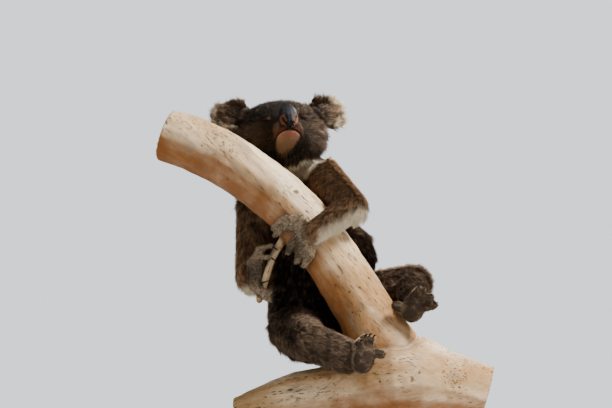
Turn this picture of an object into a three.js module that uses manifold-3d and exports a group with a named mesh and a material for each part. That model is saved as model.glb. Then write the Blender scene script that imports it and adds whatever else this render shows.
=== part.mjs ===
// A koala resting in the fork of a gum tree, life size, on a plain display stand.
// Millimetres, +Z up. The origin is on the floor, under the middle of the stand's base.
// The koala faces -Y. "Left" and "right" are the koala's own, so its left side is towards +X.
import * as THREE from "three";
import { mergeVertices } from "three/addons/utils/BufferGeometryUtils.js";
import Module from "manifold-3d";

const wasm = await Module();
wasm.setup();

// ---- Driving dimensions ----
const gap = 0.35; // between solids that touch
const at = (x, y, z) => new THREE.Vector3(x, y, z);

const base = { radius: 190, thickness: 26, chamfer: 4, sides: 40 };
const rod = { radius: 11, collarRadius: 24, collarHeight: 10, sides: 16 };
const rodShares = { stand_rod_left: 0.3, stand_rod_right: 0.72 }; // how far along the limb each rod stands

const branch = { radii: [56, 57, 56, 56, 57, 58, 58], rings: 13, swell: 1.22 };
const limb = { radii: [54, 58, 64, 74, 71, 68], rings: 12, swell: 1.35 };
const fork = { blend: 90, sides: 18, spots: 50 }; // how softly the branch runs into the limb, and how finely
const twig = { radii: [11.5, 9.5, 8], sides: 8, rings: 4 };

const head = { eyes: at(-105, -2, 815), yaw: 7, pitch: 20, roll: 5.5 };
const ear = { across: 45, thick: 22, tall: 46, out: 105, back: 57, up: 51, turn: 20 };
const earRoot = { radius: 20, out: 68, back: 50, up: 30 };
const nose = { halfWidth: 18.5, halfHeight: 33, depth: 16, forward: 38, up: -26, lean: 8 };
const noseFoot = { radius: 14, forward: 38, up: -46 };
const eye = { radius: 8.5, apart: 75, forward: -7, sides: 10, rings: 1, caps: 2 };

// Joints of the skeleton, each with the radius of the furred limb there.
const joint = {
  chest: [at(-88, 80, 634), 84],
  neckLow: [at(-94, 74, 680), 74],
  neckTop: [at(-105, 46, 750), 70],
  shoulderLeft: [at(-25, 52, 697), 48],
  elbowLeft: [at(33, -106, 590), 37],
  wristLeft: [at(-40, -146, 533), 26],
  shoulderRight: [at(-168, 65, 637), 46],
  elbowRight: [at(-174, 50, 479), 40],
  wristRight: [at(-170, -30, 472), 27],
  hipLeft: [at(34, 80, 428), 62],
  kneeLeft: [at(162, 2, 453), 45],
  ankleLeft: [at(150, -92, 404), 31],
  hipRight: [at(-86, 30, 366), 58],
  kneeRight: [at(-57, -108, 324), 45],
  ankleRight: [at(14, -132, 290), 38],
};

const digit = { sides: 5, rings: 2 };
const claw = { sides: 4, rings: 2, radius: 3.1, tipRadius: 0.7, taper: 1.3 };
const soft = { trunk: 45, head: 20, ear: 14, nose: 8, foot: 10 }; // how softly shapes in a piece run together
const trace = { steps: 60, stride: 0.9, close: 0.01 }; // how a ray feels its way to a surface

// ---- Colours ----
const paint = (color, roughness) => new THREE.MeshStandardMaterial({ color, roughness, metalness: 0 });
const furBrown = paint(0x6e6055, 0.95);
const furGrey = paint(0x857a6d, 0.95);
const furPale = paint(0xa79c8b, 0.95);
const noseSkin = paint(0x2b2e33, 0.45);
const eyeGloss = paint(0x1c120c, 0.12);
const clawHorn = paint(0x1e1a17, 0.4);
const bark = paint(0xc9b294, 0.8);
const standWood = paint(0x3b3834, 0.5);
const standSteel = new THREE.MeshStandardMaterial({ color: 0x8d9095, roughness: 0.35, metalness: 1 });

// ---- Fields: distance-like functions of a point, negative inside a shape ----
const softMin = (a, b, k) => {
  const h = Math.max(k - Math.abs(a - b), 0) / k;
  return Math.min(a, b) - (h * h * k) / 4;
};
const blendOf = (k, ...fields) => (p) => fields.map((f) => f(p)).reduce((a, b) => softMin(a, b, k));
const ball = (centre, radius) => (p) => p.distanceTo(centre) - radius;

// A rounded cone between two joints.
function bone([from, fromRadius], [to, toRadius]) {
  const axis = to.clone().sub(from);
  return (p) => {
    const share = THREE.MathUtils.clamp(p.clone().sub(from).dot(axis) / axis.lengthSq(), 0, 1);
    const nearest = from.clone().addScaledVector(axis, share);
    return p.distanceTo(nearest) - THREE.MathUtils.lerp(fromRadius, toRadius, share);
  };
}

// An ellipsoid with its radii along three axes of a frame.
function egg(centre, radii, frame) {
  return (p) => {
    const d = p.clone().sub(centre);
    const local = at(...frame.map((axis) => d.dot(axis)));
    const outer = local.clone().divide(radii).length();
    const inner = local.clone().divide(radii).divide(radii).length();
    return inner < 1e-9 ? -Math.min(radii.x, radii.y, radii.z) : (outer * (outer - 1)) / inner;
  };
}

// ---- Solids ----
function solidOf(points, triangles) {
  return new wasm.Manifold(
    new wasm.Mesh({
      numProp: 3,
      vertProperties: new Float32Array(points.flatMap((p) => p.toArray())),
      triVerts: new Uint32Array(triangles),
    }),
  );
}

// Rings of equal size closed by a point at each end.
function skinRings(rings, firstPole, lastPole) {
  const sides = rings[0].length;
  const points = [...rings.flat(), firstPole, lastPole];
  const first = points.length - 2;
  const last = points.length - 1;
  const triangles = [];
  for (let side = 0; side < sides; side++) {
    const next = (side + 1) % sides;
    triangles.push(first, next, side);
    const end = (rings.length - 1) * sides;
    triangles.push(last, end + side, end + next);
    for (let ring = 0; ring + 1 < rings.length; ring++) {
      const a = ring * sides;
      const b = a + sides;
      triangles.push(a + side, a + next, b + next, a + side, b + next, b + side);
    }
  }
  return solidOf(points, triangles);
}

// Two unit vectors square to a direction.
function squareTo(direction, hint = at(0, 0, 1)) {
  const first = hint.clone().addScaledVector(direction, -hint.dot(direction));
  if (first.length() < 0.2) first.set(1, 0, 0).addScaledVector(direction, -direction.x);
  first.normalize();
  return [first, direction.clone().cross(first).normalize()];
}

const trunkShape = { sides: 20, rings: 6, caps: 4, hint: at(0, 1, 0) };
const limbShape = { sides: 12, rings: 1, caps: 3 };
const earShape = { sides: 12, rings: 2, caps: 3 };

// The surface of a field, found by rays that leave an axis: rings along it and rounded caps at its ends.
function wrap(field, from, to, { sides, rings, caps, offset = 0, hint }) {
  const along = to.clone().sub(from).normalize();
  const [first, second] = squareTo(along, hint);
  const reach = (start, direction) => {
    const p = start.clone();
    for (let step = 0; step < trace.steps; step++) {
      const depth = offset - field(p);
      p.addScaledVector(direction, depth * trace.stride);
      if (Math.abs(depth) < trace.close) break;
    }
    return p;
  };
  const stations = [];
  for (let i = 1; i <= caps; i++) stations.push([from, (i / caps - 1) * (Math.PI / 2)]);
  for (let i = 1; i < rings; i++) stations.push([from.clone().lerp(to, i / rings), 0]);
  for (let i = 0; i < caps; i++) stations.push([to, (i / caps) * (Math.PI / 2)]);
  const loops = stations.map(([centre, tilt]) =>
    Array.from({ length: sides }, (_, side) => {
      const turn = (2 * Math.PI * side) / sides;
      const direction = first
        .clone()
        .multiplyScalar(Math.cos(turn) * Math.cos(tilt))
        .addScaledVector(second, Math.sin(turn) * Math.cos(tilt))
        .addScaledVector(along, Math.sin(tilt));
      return reach(centre, direction);
    }),
  );
  return skinRings(loops, reach(from, along.clone().negate()), reach(to, along));
}

// A round bar of changing radius along a curve, with domed, blunt or flat ends. Where a field is given,
// the bar swells to meet the field's surface, up to a share of its own radius.
const dome = 0.7; // a domed end's one ring, as a share of the bar's radius, both in size and in reach
function sleeve(curve, radiusAt, shape) {
  const { sides, rings, domed = true, blunt = false, offset = 0, field, swell = 1 } = shape;
  const frames = curve.computeFrenetFrames(rings, false);
  const swollen = (centre, direction, radius) => {
    let r = radius;
    for (let step = 0; field && step < trace.steps; step++) {
      r += offset - field(centre.clone().addScaledVector(direction, r));
    }
    return THREE.MathUtils.clamp(r, radius, radius * swell);
  };
  const loop = (centre, index, radius) =>
    Array.from({ length: sides }, (_, side) => {
      const turn = (2 * Math.PI * side) / sides;
      const direction = frames.normals[index]
        .clone()
        .multiplyScalar(Math.cos(turn))
        .addScaledVector(frames.binormals[index], Math.sin(turn));
      return centre.clone().addScaledVector(direction, swollen(centre, direction, radius));
    });
  const loops = [];
  const poles = [];
  for (let index = 0; index <= rings; index++) {
    const centre = curve.getPointAt(index / rings);
    const radius = radiusAt(index / rings) + offset;
    const end = index === 0 ? -1 : index === rings ? 1 : 0;
    const round = domed && !blunt;
    const shoulder = centre.clone().addScaledVector(frames.tangents[index], end * radius * dome);
    const tip = centre.clone().addScaledVector(frames.tangents[index], end * (domed ? radius : offset));
    if (end < 0 && round) loops.push(loop(shoulder, index, radius * dome));
    loops.push(loop(domed || !end ? centre : tip, index, radius));
    if (end > 0 && round) loops.push(loop(shoulder, index, radius * dome));
    if (end) poles.push(tip);
  }
  return skinRings(loops, ...poles);
}

const curveThrough = (...points) => new THREE.CatmullRomCurve3(points);
const lerpList = (values) => (t) => {
  const place = Math.min(t * (values.length - 1), values.length - 1.0001);
  const index = Math.floor(place);
  return THREE.MathUtils.lerp(values[index], values[index + 1], place - index);
};
const joined = (solids) => solids.reduce((a, b) => a.add(b));
const largest = (solid) => solid.decompose().sort((a, b) => b.volume() - a.volume())[0];

// ---- The perch: a forked length of gum tree ----
const branchLine = curveThrough(
  at(-352, -60, 757),
  at(-269, -60, 726),
  at(-150, -60, 651),
  at(-51, -60, 556),
  at(29, -60, 438),
  at(111, -60, 294),
  at(142, -60, 240),
);
const limbLine = curveThrough(
  at(-188, 20, 170),
  at(-72, 2, 214),
  at(28, -25, 220),
  at(136, -60, 239),
  at(223, -65, 231),
  at(290, -70, 210),
);
const twigLine = curveThrough(at(-80, -40, 572), at(-123, -54, 509), at(-153, -60, 410));

const tube = (curve, radiusAt) => {
  const spots = curve.getSpacedPoints(fork.spots);
  return (p) => Math.min(...spots.map((spot, i) => p.distanceTo(spot) - radiusAt(i / fork.spots)));
};
const branchRadius = lerpList(branch.radii);
const limbRadius = lerpList(limb.radii);
const forkField = blendOf(fork.blend, tube(branchLine, branchRadius), tube(limbLine, limbRadius));
const forked = (curve, radiusAt, { rings, swell }) => (offset = 0) =>
  sleeve(curve, radiusAt, { sides: fork.sides, rings, domed: false, offset, field: forkField, swell });

const perch = {
  branch: forked(branchLine, branchRadius, branch),
  limb: forked(limbLine, limbRadius, limb),
  twig: (offset = 0) => sleeve(twigLine, lerpList(twig.radii), { ...twig, offset }),
};

// ---- The head, in its own axes: outwards to the koala's left, forwards along the nose, and up ----
const turnOf = (degrees) => THREE.MathUtils.degToRad(degrees);

// Two axes turned by an angle in their own plane, the first towards the second.
function swung(first, second, degrees) {
  const [cos, sin] = [Math.cos(turnOf(degrees)), Math.sin(turnOf(degrees))];
  return [
    first.clone().multiplyScalar(cos).addScaledVector(second, sin),
    second.clone().multiplyScalar(cos).addScaledVector(first, -sin),
  ];
}

function axesOf({ yaw, pitch, roll }) {
  const [ahead, level] = swung(at(0, -1, 0), at(1, 0, 0), yaw);
  const [forward, upright] = swung(ahead, at(0, 0, 1), pitch);
  return [...swung(level, upright, roll), forward];
}
const [headLeft, headUp, headForward] = axesOf(head);
const onHead = (left, forward, up) =>
  head.eyes
    .clone()
    .addScaledVector(headLeft, left)
    .addScaledVector(headForward, forward)
    .addScaledVector(headUp, up);
const headEgg = (centre, radii) => egg(onHead(...centre), at(...radii), [headLeft, headForward, headUp]);

const headField = blendOf(
  soft.head,
  headEgg([0, -50, 16], [72, 56, 62]), // cranium
  ball(onHead(-45, -54, 24), 42), // crown, broad between the ears
  ball(onHead(45, -54, 24), 42),
  headEgg([0, -33, -24], [57, 40, 50]), // face
  headEgg([0, 12, -46], [30, 36, 33]), // muzzle
  ball(onHead(0, 12, -68), 22), // chin
  ball(onHead(0, -26, -66), 43), // throat
  ball(onHead(-49, -43, -39), 43), // cheeks
  ball(onHead(49, -43, -39), 43),
  ball(onHead(-76, -50, -8), 27), // ruff, from the cheeks up to the ears
  ball(onHead(76, -50, -8), 27),
);

// The ear is a furry disc, turned a little outwards, on a short root.
function earField(side) {
  const [facing, across] = swung(headForward, headLeft, side * ear.turn);
  const centre = onHead(side * ear.out, -ear.back, ear.up);
  return blendOf(
    soft.ear,
    egg(centre, at(ear.across, ear.thick, ear.tall), [across, facing, headUp]),
    ball(onHead(side * earRoot.out, -earRoot.back, earRoot.up), earRoot.radius),
  );
}

const [noseForward, noseUp] = swung(headForward, headUp, nose.lean);
const noseRadii = at(nose.halfWidth, nose.depth, nose.halfHeight);
const noseField = blendOf(
  soft.nose,
  egg(onHead(0, nose.forward, nose.up), noseRadii, [headLeft, noseForward, noseUp]),
  ball(onHead(0, noseFoot.forward, noseFoot.up), noseFoot.radius),
);

// ---- The trunk ----
const trunkAxes = [at(0.96, 0.06, 0.27), at(-0.06, 1, 0), at(-0.27, -0.02, 0.96)];
trunkAxes.forEach((axis) => axis.normalize());
const trunkEgg = (centre, radii) => egg(centre, at(...radii), trunkAxes);
const trunkField = blendOf(
  soft.trunk,
  trunkEgg(at(-88, 82, 634), [90, 78, 82]), // chest
  trunkEgg(at(-26, 90, 520), [130, 92, 100]), // belly
  trunkEgg(at(-27, 80, 428), [120, 96, 86]), // hips
  trunkEgg(at(-46, 52, 366), [90, 82, 72]), // rump
  ball(at(-28, 72, 652), 56), // shoulders
  ball(at(-148, 70, 630), 50),
);

// ---- Hands: digits that wrap round the branch ----
// A point on the branch: how far along it, how far round it from its front (degrees), and how high over it.
const gripRadius = 56.5;
function onBranch(along, round, lift) {
  const front = at(0, -1, 0);
  const share = THREE.MathUtils.clamp(along / branchLine.getLength(), 0, 1);
  const tangent = branchLine.getTangentAt(share);
  const out = front.clone().addScaledVector(tangent, -front.dot(tangent)).normalize();
  const side = tangent.clone().cross(out).normalize();
  const [direction] = swung(out, side, round);
  return branchLine.getPointAt(share).addScaledVector(direction, gripRadius + lift);
}

function digitSolid(points, radii, offset) {
  return sleeve(curveThrough(...points), lerpList(radii), { ...digit, offset });
}

// A claw runs on from a digit: points of its curve, thick at the root.
function clawSolid(points, scale = 1, offset = 0) {
  const radiusAt = (t) => THREE.MathUtils.lerp(claw.radius, claw.tipRadius, t ** claw.taper) * scale;
  const { sides, rings } = claw;
  return sleeve(curveThrough(...points), radiusAt, { sides, rings, blunt: true, offset });
}

// Left hand, over the branch. Each digit: [along, round] at its root, its knuckle and its end.
const leftDigits = {
  digit1: [[352, 8], [329, 26], [320, 60]],
  digit2: [[361, 20], [338, 38], [331, 72]],
  digit3: [[376, 28], [375, 52], [378, 84]],
  digit4: [[389, 22], [401, 46], [409, 76]],
  digit5: [[398, 12], [417, 28], [428, 60]],
};
const leftLifts = [13, 11, 9]; // how high each digit's root, knuckle and end lie over the bark
const leftRadii = [12, 10.5, 8];
const leftPalm = { along: 381, round: 12, lift: 14, radii: [21, 24, 14] };
const leftClaw = { steps: [[2, 8.5], [10, 9.5], [17, 7.5], [23, 3.6]], drift: 0.5 }; // [degrees round, lift]
const leftDigitCurves = Object.values(leftDigits).map((stops) =>
  stops.map(([along, round], i) => onBranch(along, round, leftLifts[i])),
);
const leftClawCurves = Object.values(leftDigits).map(([, knuckle, [along, round]]) => {
  const drift = (along - knuckle[0]) * leftClaw.drift;
  const furthest = leftClaw.steps.at(-1)[0];
  const step = ([turn, lift]) => onBranch(along + (drift * turn) / furthest, round + turn, lift);
  return leftClaw.steps.map(step);
});

// Right hand, on the twig: each digit's path from the middle of the palm, in world directions.
const rightPalm = { centre: at(-163, -56, 468), top: at(0, 2, 16), foot: at(3, 2, -24), radius: 17 };
const rightDigits = {
  digit1: [[2, -2, 24], [10, -10, 44], [20, -17, 53], [31, -17, 50]],
  digit2: [[4, -4, 12], [12, -14, 28], [20, -18, 32], [28, -18, 27]],
  digit3: [[0, -2, -10], [-1, -13, -15], [0, -18, -22], [6, -18, -28]],
  digit4: [[6, -4, -26], [12, -12, -38], [22, -17, -43], [30, -17, -46]],
  digit5: [[6, -2, -34], [14, -8, -50], [24, -14, -57], [31, -14, -59]],
};
const rightRadii = [12, 10, 8.5, 7];

// Each claw's path from its digit's end.
const rightClaws = {
  digit1: [[1, 0, 0], [8, 0, -3], [13, 2, -6], [17, 6, -9]],
  digit2: [[1, 0, 0], [8, 0, -3], [13, 2, -6], [17, 6, -9]],
  digit3: [[1, 0, 0], [9, -1, 2], [18, 0, 5], [25, 3, 8]],
  digit4: [[1, 0, 0], [8, 0, -2], [13, 2, -3], [17, 6, -3]],
  digit5: [[1, 0, 0], [8, 0, 0], [13, 2, 1], [17, 6, 2]],
};
const pathFrom = (start, steps) => steps.map((step) => start.clone().add(at(...step)));
const rightDigitCurves = Object.values(rightDigits).map((path) => pathFrom(rightPalm.centre, path));
const rightDigitEnds = rightDigitCurves.map((curve) => curve.at(-1));
const rightClawCurves = Object.values(rightClaws).map((path, i) => pathFrom(rightDigitEnds[i], path));

// ---- Feet, in their own axes: towards the toes, towards the big toe, and out of the sole ----
function footFrame(centre, toes, sole) {
  const out = sole.clone().normalize();
  const toe = toes.clone().addScaledVector(out, -toes.dot(out)).normalize();
  return { centre, toe, out };
}
const feet = {
  left: {
    ...footFrame(at(149, -124, 388), at(0.45, 0.1, 0.89), at(-0.1, -0.97, -0.22)),
    inner: at(-1, 0, 0),
    toes: {
      digit1: { path: [[-8, 8, -2], [-13, 20, 1], [-14, 29, 4]], radii: [13, 12, 11], claw: 0 },
      digit2: { path: [[14, 7, -3], [27, 8, 2], [35, 7, 9]], radii: [10, 8, 6.5], claw: 0.85 },
      digit3: { path: [[14, -2, -3], [28, -3, 2], [36, -4, 9]], radii: [10, 8, 6.5], claw: 0.85 },
      digit4: { path: [[10, -10, -2], [24, -17, 4], [31, -21, 12]], radii: [13, 11.5, 10], claw: 1.1 },
      digit5: { path: [[4, -13, -2], [14, -25, 4], [20, -33, 10]], radii: [13, 12, 11], claw: 1.1 },
    },
  },
  right: {
    ...footFrame(at(53, -168, 285), at(0.14, 0.42, 0.9), at(0.3, -0.93, -0.1)),
    inner: at(1, 0, 0),
    toes: {
      digit1: { path: [[8, 4, -3], [13, 16, -1], [14, 27, 3]], radii: [12, 10.5, 10.5], claw: 0 },
      digit2: { path: [[14, 0, -6], [27, 2, -4], [36, 1, 2]], radii: [10, 8, 6.5], claw: 0.85 },
      digit3: { path: [[13, -7, -6], [27, -6, -4], [36, -7, 2]], radii: [10, 8, 6.5], claw: 0.85 },
      digit4: { path: [[10, -13, -6], [23, -15, -3], [31, -16, 4]], radii: [12, 10, 9], claw: 1.1 },
      digit5: { path: [[2, -14, -4], [12, -21, 0], [18, -23, 7]], radii: [13, 12, 11], claw: 1.1 },
    },
  },
};
for (const foot of Object.values(feet)) {
  foot.big = foot.toe.clone().cross(foot.out);
  if (foot.big.dot(foot.inner) < 0) foot.big.negate();
  foot.point = (toe, big, out) =>
    foot.centre
      .clone()
      .addScaledVector(foot.toe, toe)
      .addScaledVector(foot.big, big)
      .addScaledVector(foot.out, out);
}

function footSolid(foot, offset = 0) {
  const axes = [foot.toe, foot.big, foot.out];
  const sole = blendOf(
    soft.foot,
    egg(foot.point(-2, -2, -6), at(30, 25, 17), axes),
    ball(foot.point(-14, -2, -8), 17),
    ball(foot.point(8, -4, -6), 17),
  );
  const pads = wrap(sole, foot.point(-12, -2, -7), foot.point(8, -3, -6), { ...limbShape, offset });
  const digits = Object.values(foot.toes).map(({ path, radii }) =>
    digitSolid(path.map((p) => foot.point(...p)), radii, offset),
  );
  return joined([pads, ...digits]);
}

// Each toe's claw grows out past the toe's end and curves over towards the sole's side.
const toeClaw = { steps: [[3, 2, 0], [7, 7, 0.2], [8, 13, 0.4], [6, 18, 0.4]] }; // [on, out, share of lean]
const toeClawCurve = (foot, [, knuckle, [toe, big, out]]) =>
  toeClaw.steps.map(([on, over, lean]) => foot.point(toe + on, big + (big - knuckle[1]) * lean, out + over));

// ---- Everything built and cut to fit ----
const tuck = 4; // how much thinner a lower limb starts, so that its end hides inside the limb before it
const capsule = (from, to, shape = limbShape, thinner = 0) => {
  const start = [from[0], from[1] - thinner];
  return (offset = 0) => wrap(bone(start, to), start[0], to[0], { ...shape, offset });
};
const earMaker = (side) => (offset = 0) =>
  wrap(earField(side), onHead(side * 84, -54, 38), onHead(side * 110, -57, 44), { ...earShape, offset });

const makers = {
  trunk: (offset = 0) => wrap(trunkField, at(-46, 60, 372), at(-88, 80, 640), { ...trunkShape, offset }),
  head: (offset = 0) =>
    wrap(headField, onHead(0, -52, -10), onHead(0, 8, -38), { sides: 20, rings: 3, caps: 6, offset }),
  neck: capsule(joint.neckLow, joint.neckTop, { ...limbShape, caps: 2 }),
  ear_left: earMaker(1),
  ear_right: earMaker(-1),
  nose: (offset = 0) => wrap(noseField, onHead(0, 38, -42), onHead(0, 38, -16), { ...earShape, offset }),
  upper_arm_left: capsule(joint.shoulderLeft, joint.elbowLeft),
  forearm_left: capsule(joint.elbowLeft, joint.wristLeft, limbShape, tuck),
  upper_arm_right: capsule(joint.shoulderRight, joint.elbowRight),
  forearm_right: capsule(joint.elbowRight, joint.wristRight, limbShape, tuck),
  thigh_left: capsule(joint.hipLeft, joint.kneeLeft),
  shank_left: capsule(joint.kneeLeft, joint.ankleLeft, limbShape, tuck),
  thigh_right: capsule(joint.hipRight, joint.kneeRight),
  shank_right: capsule(joint.kneeRight, joint.ankleRight, limbShape, tuck),
  hand_left: (offset = 0) => {
    const { along, round, lift, radii } = leftPalm;
    const centre = onBranch(along, round, lift);
    const out = centre.clone().sub(onBranch(along, round, 0)).normalize();
    const [first, second] = squareTo(out, branchLine.getTangentAt(along / branchLine.getLength()));
    const palmField = egg(centre, at(...radii), [first, second, out]);
    const palm = wrap(palmField, centre, centre.clone().addScaledVector(first, 4), { ...limbShape, offset });
    return joined([palm, ...leftDigitCurves.map((points) => digitSolid(points, leftRadii, offset))]);
  },
  hand_right: (offset = 0) => {
    const ends = [rightPalm.top, rightPalm.foot].map((end) => end.clone().add(rightPalm.centre));
    const palmField = bone([ends[0], rightPalm.radius], [ends[1], rightPalm.radius]);
    const palm = wrap(palmField, ...ends, { ...limbShape, rings: 2, offset });
    return joined([palm, ...rightDigitCurves.map((points) => digitSolid(points, rightRadii, offset))]);
  },
  foot_left: (offset = 0) => footSolid(feet.left, offset),
  foot_right: (offset = 0) => footSolid(feet.right, offset),
};

const eyePlaces = {
  eye_left: onHead(eye.apart / 2, eye.forward, 0),
  eye_right: onHead(-eye.apart / 2, eye.forward, 0),
};
for (const [name, place] of Object.entries(eyePlaces)) {
  const front = place.clone().addScaledVector(headForward, 0.5);
  makers[name] = (offset = 0) => wrap(ball(place, eye.radius), place, front, { ...eye, offset });
}

const claws = {};
Object.keys(leftDigits).forEach((name, i) => {
  claws[`claw_hand_left_${name}`] = (offset = 0) => clawSolid(leftClawCurves[i], 1, offset);
  claws[`claw_hand_right_${name}`] = (offset = 0) => clawSolid(rightClawCurves[i], 1, offset);
});
for (const [side, foot] of Object.entries(feet)) {
  for (const [name, { path, claw: scale }] of Object.entries(foot.toes)) {
    const curve = toeClawCurve(foot, path);
    if (scale) claws[`claw_foot_${side}_${name}`] = (offset = 0) => clawSolid(curve, scale, offset);
  }
}

// Each piece of the body: its finish, its own origin, and what it gives way to. All give way to the perch.
const body = {
  trunk: [furBrown, joint.chest[0], []],
  head: [furBrown, head.eyes, ["nose", "eye_left", "eye_right"]],
  neck: [furBrown, joint.neckLow[0], ["trunk", "head"]],
  ear_left: [furGrey, onHead(earRoot.out, -earRoot.back, earRoot.up), ["head"]],
  ear_right: [furGrey, onHead(-earRoot.out, -earRoot.back, earRoot.up), ["head"]],
  nose: [noseSkin, onHead(0, nose.forward, nose.up), []],
  eye_left: [eyeGloss, eyePlaces.eye_left, []],
  eye_right: [eyeGloss, eyePlaces.eye_right, []],
  upper_arm_left: [furBrown, joint.shoulderLeft[0], ["trunk", "neck", "head"]],
  forearm_left: [furBrown, joint.elbowLeft[0], ["upper_arm_left", "trunk"]],
  hand_left: [furPale, joint.wristLeft[0], ["forearm_left", "trunk"]],
  upper_arm_right: [furBrown, joint.shoulderRight[0], ["trunk", "neck"]],
  forearm_right: [furBrown, joint.elbowRight[0], ["upper_arm_right", "trunk"]],
  hand_right: [furPale, rightPalm.centre, ["forearm_right", "trunk"]],
  thigh_left: [furGrey, joint.hipLeft[0], ["trunk"]],
  shank_left: [furGrey, joint.kneeLeft[0], ["thigh_left", "trunk"]],
  foot_left: [furPale, feet.left.centre, ["shank_left", "thigh_left"]],
  thigh_right: [furGrey, joint.hipRight[0], ["trunk"]],
  shank_right: [furGrey, joint.kneeRight[0], ["thigh_right", "trunk"]],
  foot_right: [furPale, feet.right.centre, ["shank_right", "thigh_right"]],
};

const model = new THREE.Group();
model.name = "koala_on_perch";

// Adds a solid to a group as a mesh, with its own origin at a given place.
function show(name, solid, material, parent, origin = at(0, 0, 0)) {
  const { vertProperties, triVerts, numProp } = solid.getMesh();
  const positions = new Float32Array((vertProperties.length / numProp) * 3);
  for (let i = 0; i < positions.length; i++) {
    positions[i] = vertProperties[Math.floor(i / 3) * numProp + (i % 3)] - origin.getComponent(i % 3);
  }
  const geometry = new THREE.BufferGeometry();
  geometry.setAttribute("position", new THREE.BufferAttribute(positions, 3));
  geometry.setIndex(new THREE.BufferAttribute(triVerts, 1));
  geometry.computeVertexNormals();
  const mesh = new THREE.Mesh(geometry, material);
  mesh.name = name;
  mesh.position.copy(origin);
  parent.add(mesh);
}

const perchGrown = [perch.branch(gap), perch.limb(gap), perch.twig(gap)];
const cutBy = (solid, rivals) => largest(rivals.reduce((left, rival) => left.subtract(rival), solid));

const koala = new THREE.Group();
koala.name = "koala";
model.add(koala);
for (const [name, [material, origin, givesWayTo]] of Object.entries(body)) {
  const ownClaws = Object.keys(claws).filter((clawName) => clawName.startsWith(`claw_${name}_`));
  const rivals = [
    ...givesWayTo.map((rival) => makers[rival](gap)),
    ...ownClaws.map((clawName) => claws[clawName](gap)),
    ...perchGrown,
  ];
  show(name, cutBy(makers[name](), rivals), material, koala, origin);
}
for (const [name, make] of Object.entries(claws)) show(name, cutBy(make(), perchGrown), clawHorn, koala);

// ---- Perch and stand ----
const perchGroup = new THREE.Group();
perchGroup.name = "perch";
model.add(perchGroup);
show("perch_limb", perch.limb(), bark, perchGroup);
show("perch_branch", cutBy(perch.branch(), [perch.limb(gap)]), bark, perchGroup);
show("perch_twig", cutBy(perch.twig(), [perch.branch(gap)]), bark, perchGroup);

// A solid turned about an upright axis from [radius, height] points.
const weld = 1e-3; // corners nearer than this are one
function turned(profile, segments, middle = at(0, 0, 0)) {
  const geometry = new THREE.LatheGeometry(profile.map(([r, z]) => new THREE.Vector2(r, z)), segments);
  geometry.deleteAttribute("normal");
  geometry.deleteAttribute("uv");
  geometry.rotateX(Math.PI / 2).translate(middle.x, middle.y, 0);
  const merged = mergeVertices(geometry, weld);
  const points = Array.from({ length: merged.attributes.position.count }, (_, i) =>
    at(0, 0, 0).fromBufferAttribute(merged.attributes.position, i),
  );
  return solidOf(points, [...merged.index.array]);
}

const stand = new THREE.Group();
stand.name = "stand";
model.add(stand);
const baseProfile = [
  [0, 0],
  [base.radius, 0],
  [base.radius, base.thickness - base.chamfer],
  [base.radius - base.chamfer, base.thickness],
  [0, base.thickness],
];
show("stand_base", turned(baseProfile, base.sides), standWood, stand);

// A rod stands on the base and ends in the limb's underside.
for (const [name, share] of Object.entries(rodShares)) {
  const top = limbLine.getPointAt(share);
  const foot = base.thickness + gap;
  const profile = [
    [0, foot],
    [rod.collarRadius, foot],
    [rod.collarRadius, foot + rod.collarHeight],
    [rod.radius, foot + rod.collarHeight],
    [rod.radius, top.z],
    [0, top.z],
  ];
  show(name, cutBy(turned(profile, rod.sides, top), [perch.limb(gap)]), standSteel, stand);
}

export default model;
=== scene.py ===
import math
import bpy
import bmesh
import numpy as np
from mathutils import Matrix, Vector
from mathutils.bvhtree import BVHTree
from mathutils.kdtree import KDTree


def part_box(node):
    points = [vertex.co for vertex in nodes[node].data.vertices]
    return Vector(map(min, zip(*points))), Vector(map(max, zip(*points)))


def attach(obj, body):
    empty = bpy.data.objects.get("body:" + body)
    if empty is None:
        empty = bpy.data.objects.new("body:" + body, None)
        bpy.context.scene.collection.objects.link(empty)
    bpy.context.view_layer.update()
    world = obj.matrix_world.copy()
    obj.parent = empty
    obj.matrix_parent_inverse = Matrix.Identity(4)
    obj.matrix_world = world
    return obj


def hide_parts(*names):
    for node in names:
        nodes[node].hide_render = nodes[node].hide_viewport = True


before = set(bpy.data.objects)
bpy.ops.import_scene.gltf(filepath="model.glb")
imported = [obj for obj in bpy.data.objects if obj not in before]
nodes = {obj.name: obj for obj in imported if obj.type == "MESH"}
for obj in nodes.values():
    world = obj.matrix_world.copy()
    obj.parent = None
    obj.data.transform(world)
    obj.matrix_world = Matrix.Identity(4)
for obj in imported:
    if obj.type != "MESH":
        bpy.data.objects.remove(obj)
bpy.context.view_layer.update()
mm = 0.001
rng = np.random.default_rng(11)


def unit(v):
    length = np.linalg.norm(v, axis=-1, keepdims=True)
    return v / np.maximum(length, 1e-12)


def ramp(value, low, high):  # smooth step from 0 at low to 1 at high
    t = np.clip((value - low) / (high - low), 0, 1)
    return t * t * (3 - 2 * t)


def mixed(a, b, share):
    return a + (b - a) * share


def linear(red, green, blue):  # a colour given as on a screen, 0 to 255
    c = np.array([red, green, blue]) / 255
    return np.where(c > 0.04045, ((c + 0.055) / 1.055) ** 2.4, c / 12.92)


def pointsOf(mesh):
    points = np.empty(len(mesh.vertices) * 3, np.float32)
    mesh.vertices.foreach_get("co", points)
    return points.reshape(-1, 3).astype(float)


def trianglesOf(mesh):
    mesh.calc_loop_triangles()
    corners = np.empty(len(mesh.loop_triangles) * 3, np.int32)
    mesh.loop_triangles.foreach_get("vertices", corners)
    return corners.reshape(-1, 3)


def treeOf(points, triangles):
    return BVHTree.FromPolygons(points.tolist(), triangles.tolist())


def centreOf(node):
    low, high = (np.array(corner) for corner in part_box(node))
    return (low + high) / 2


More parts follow.
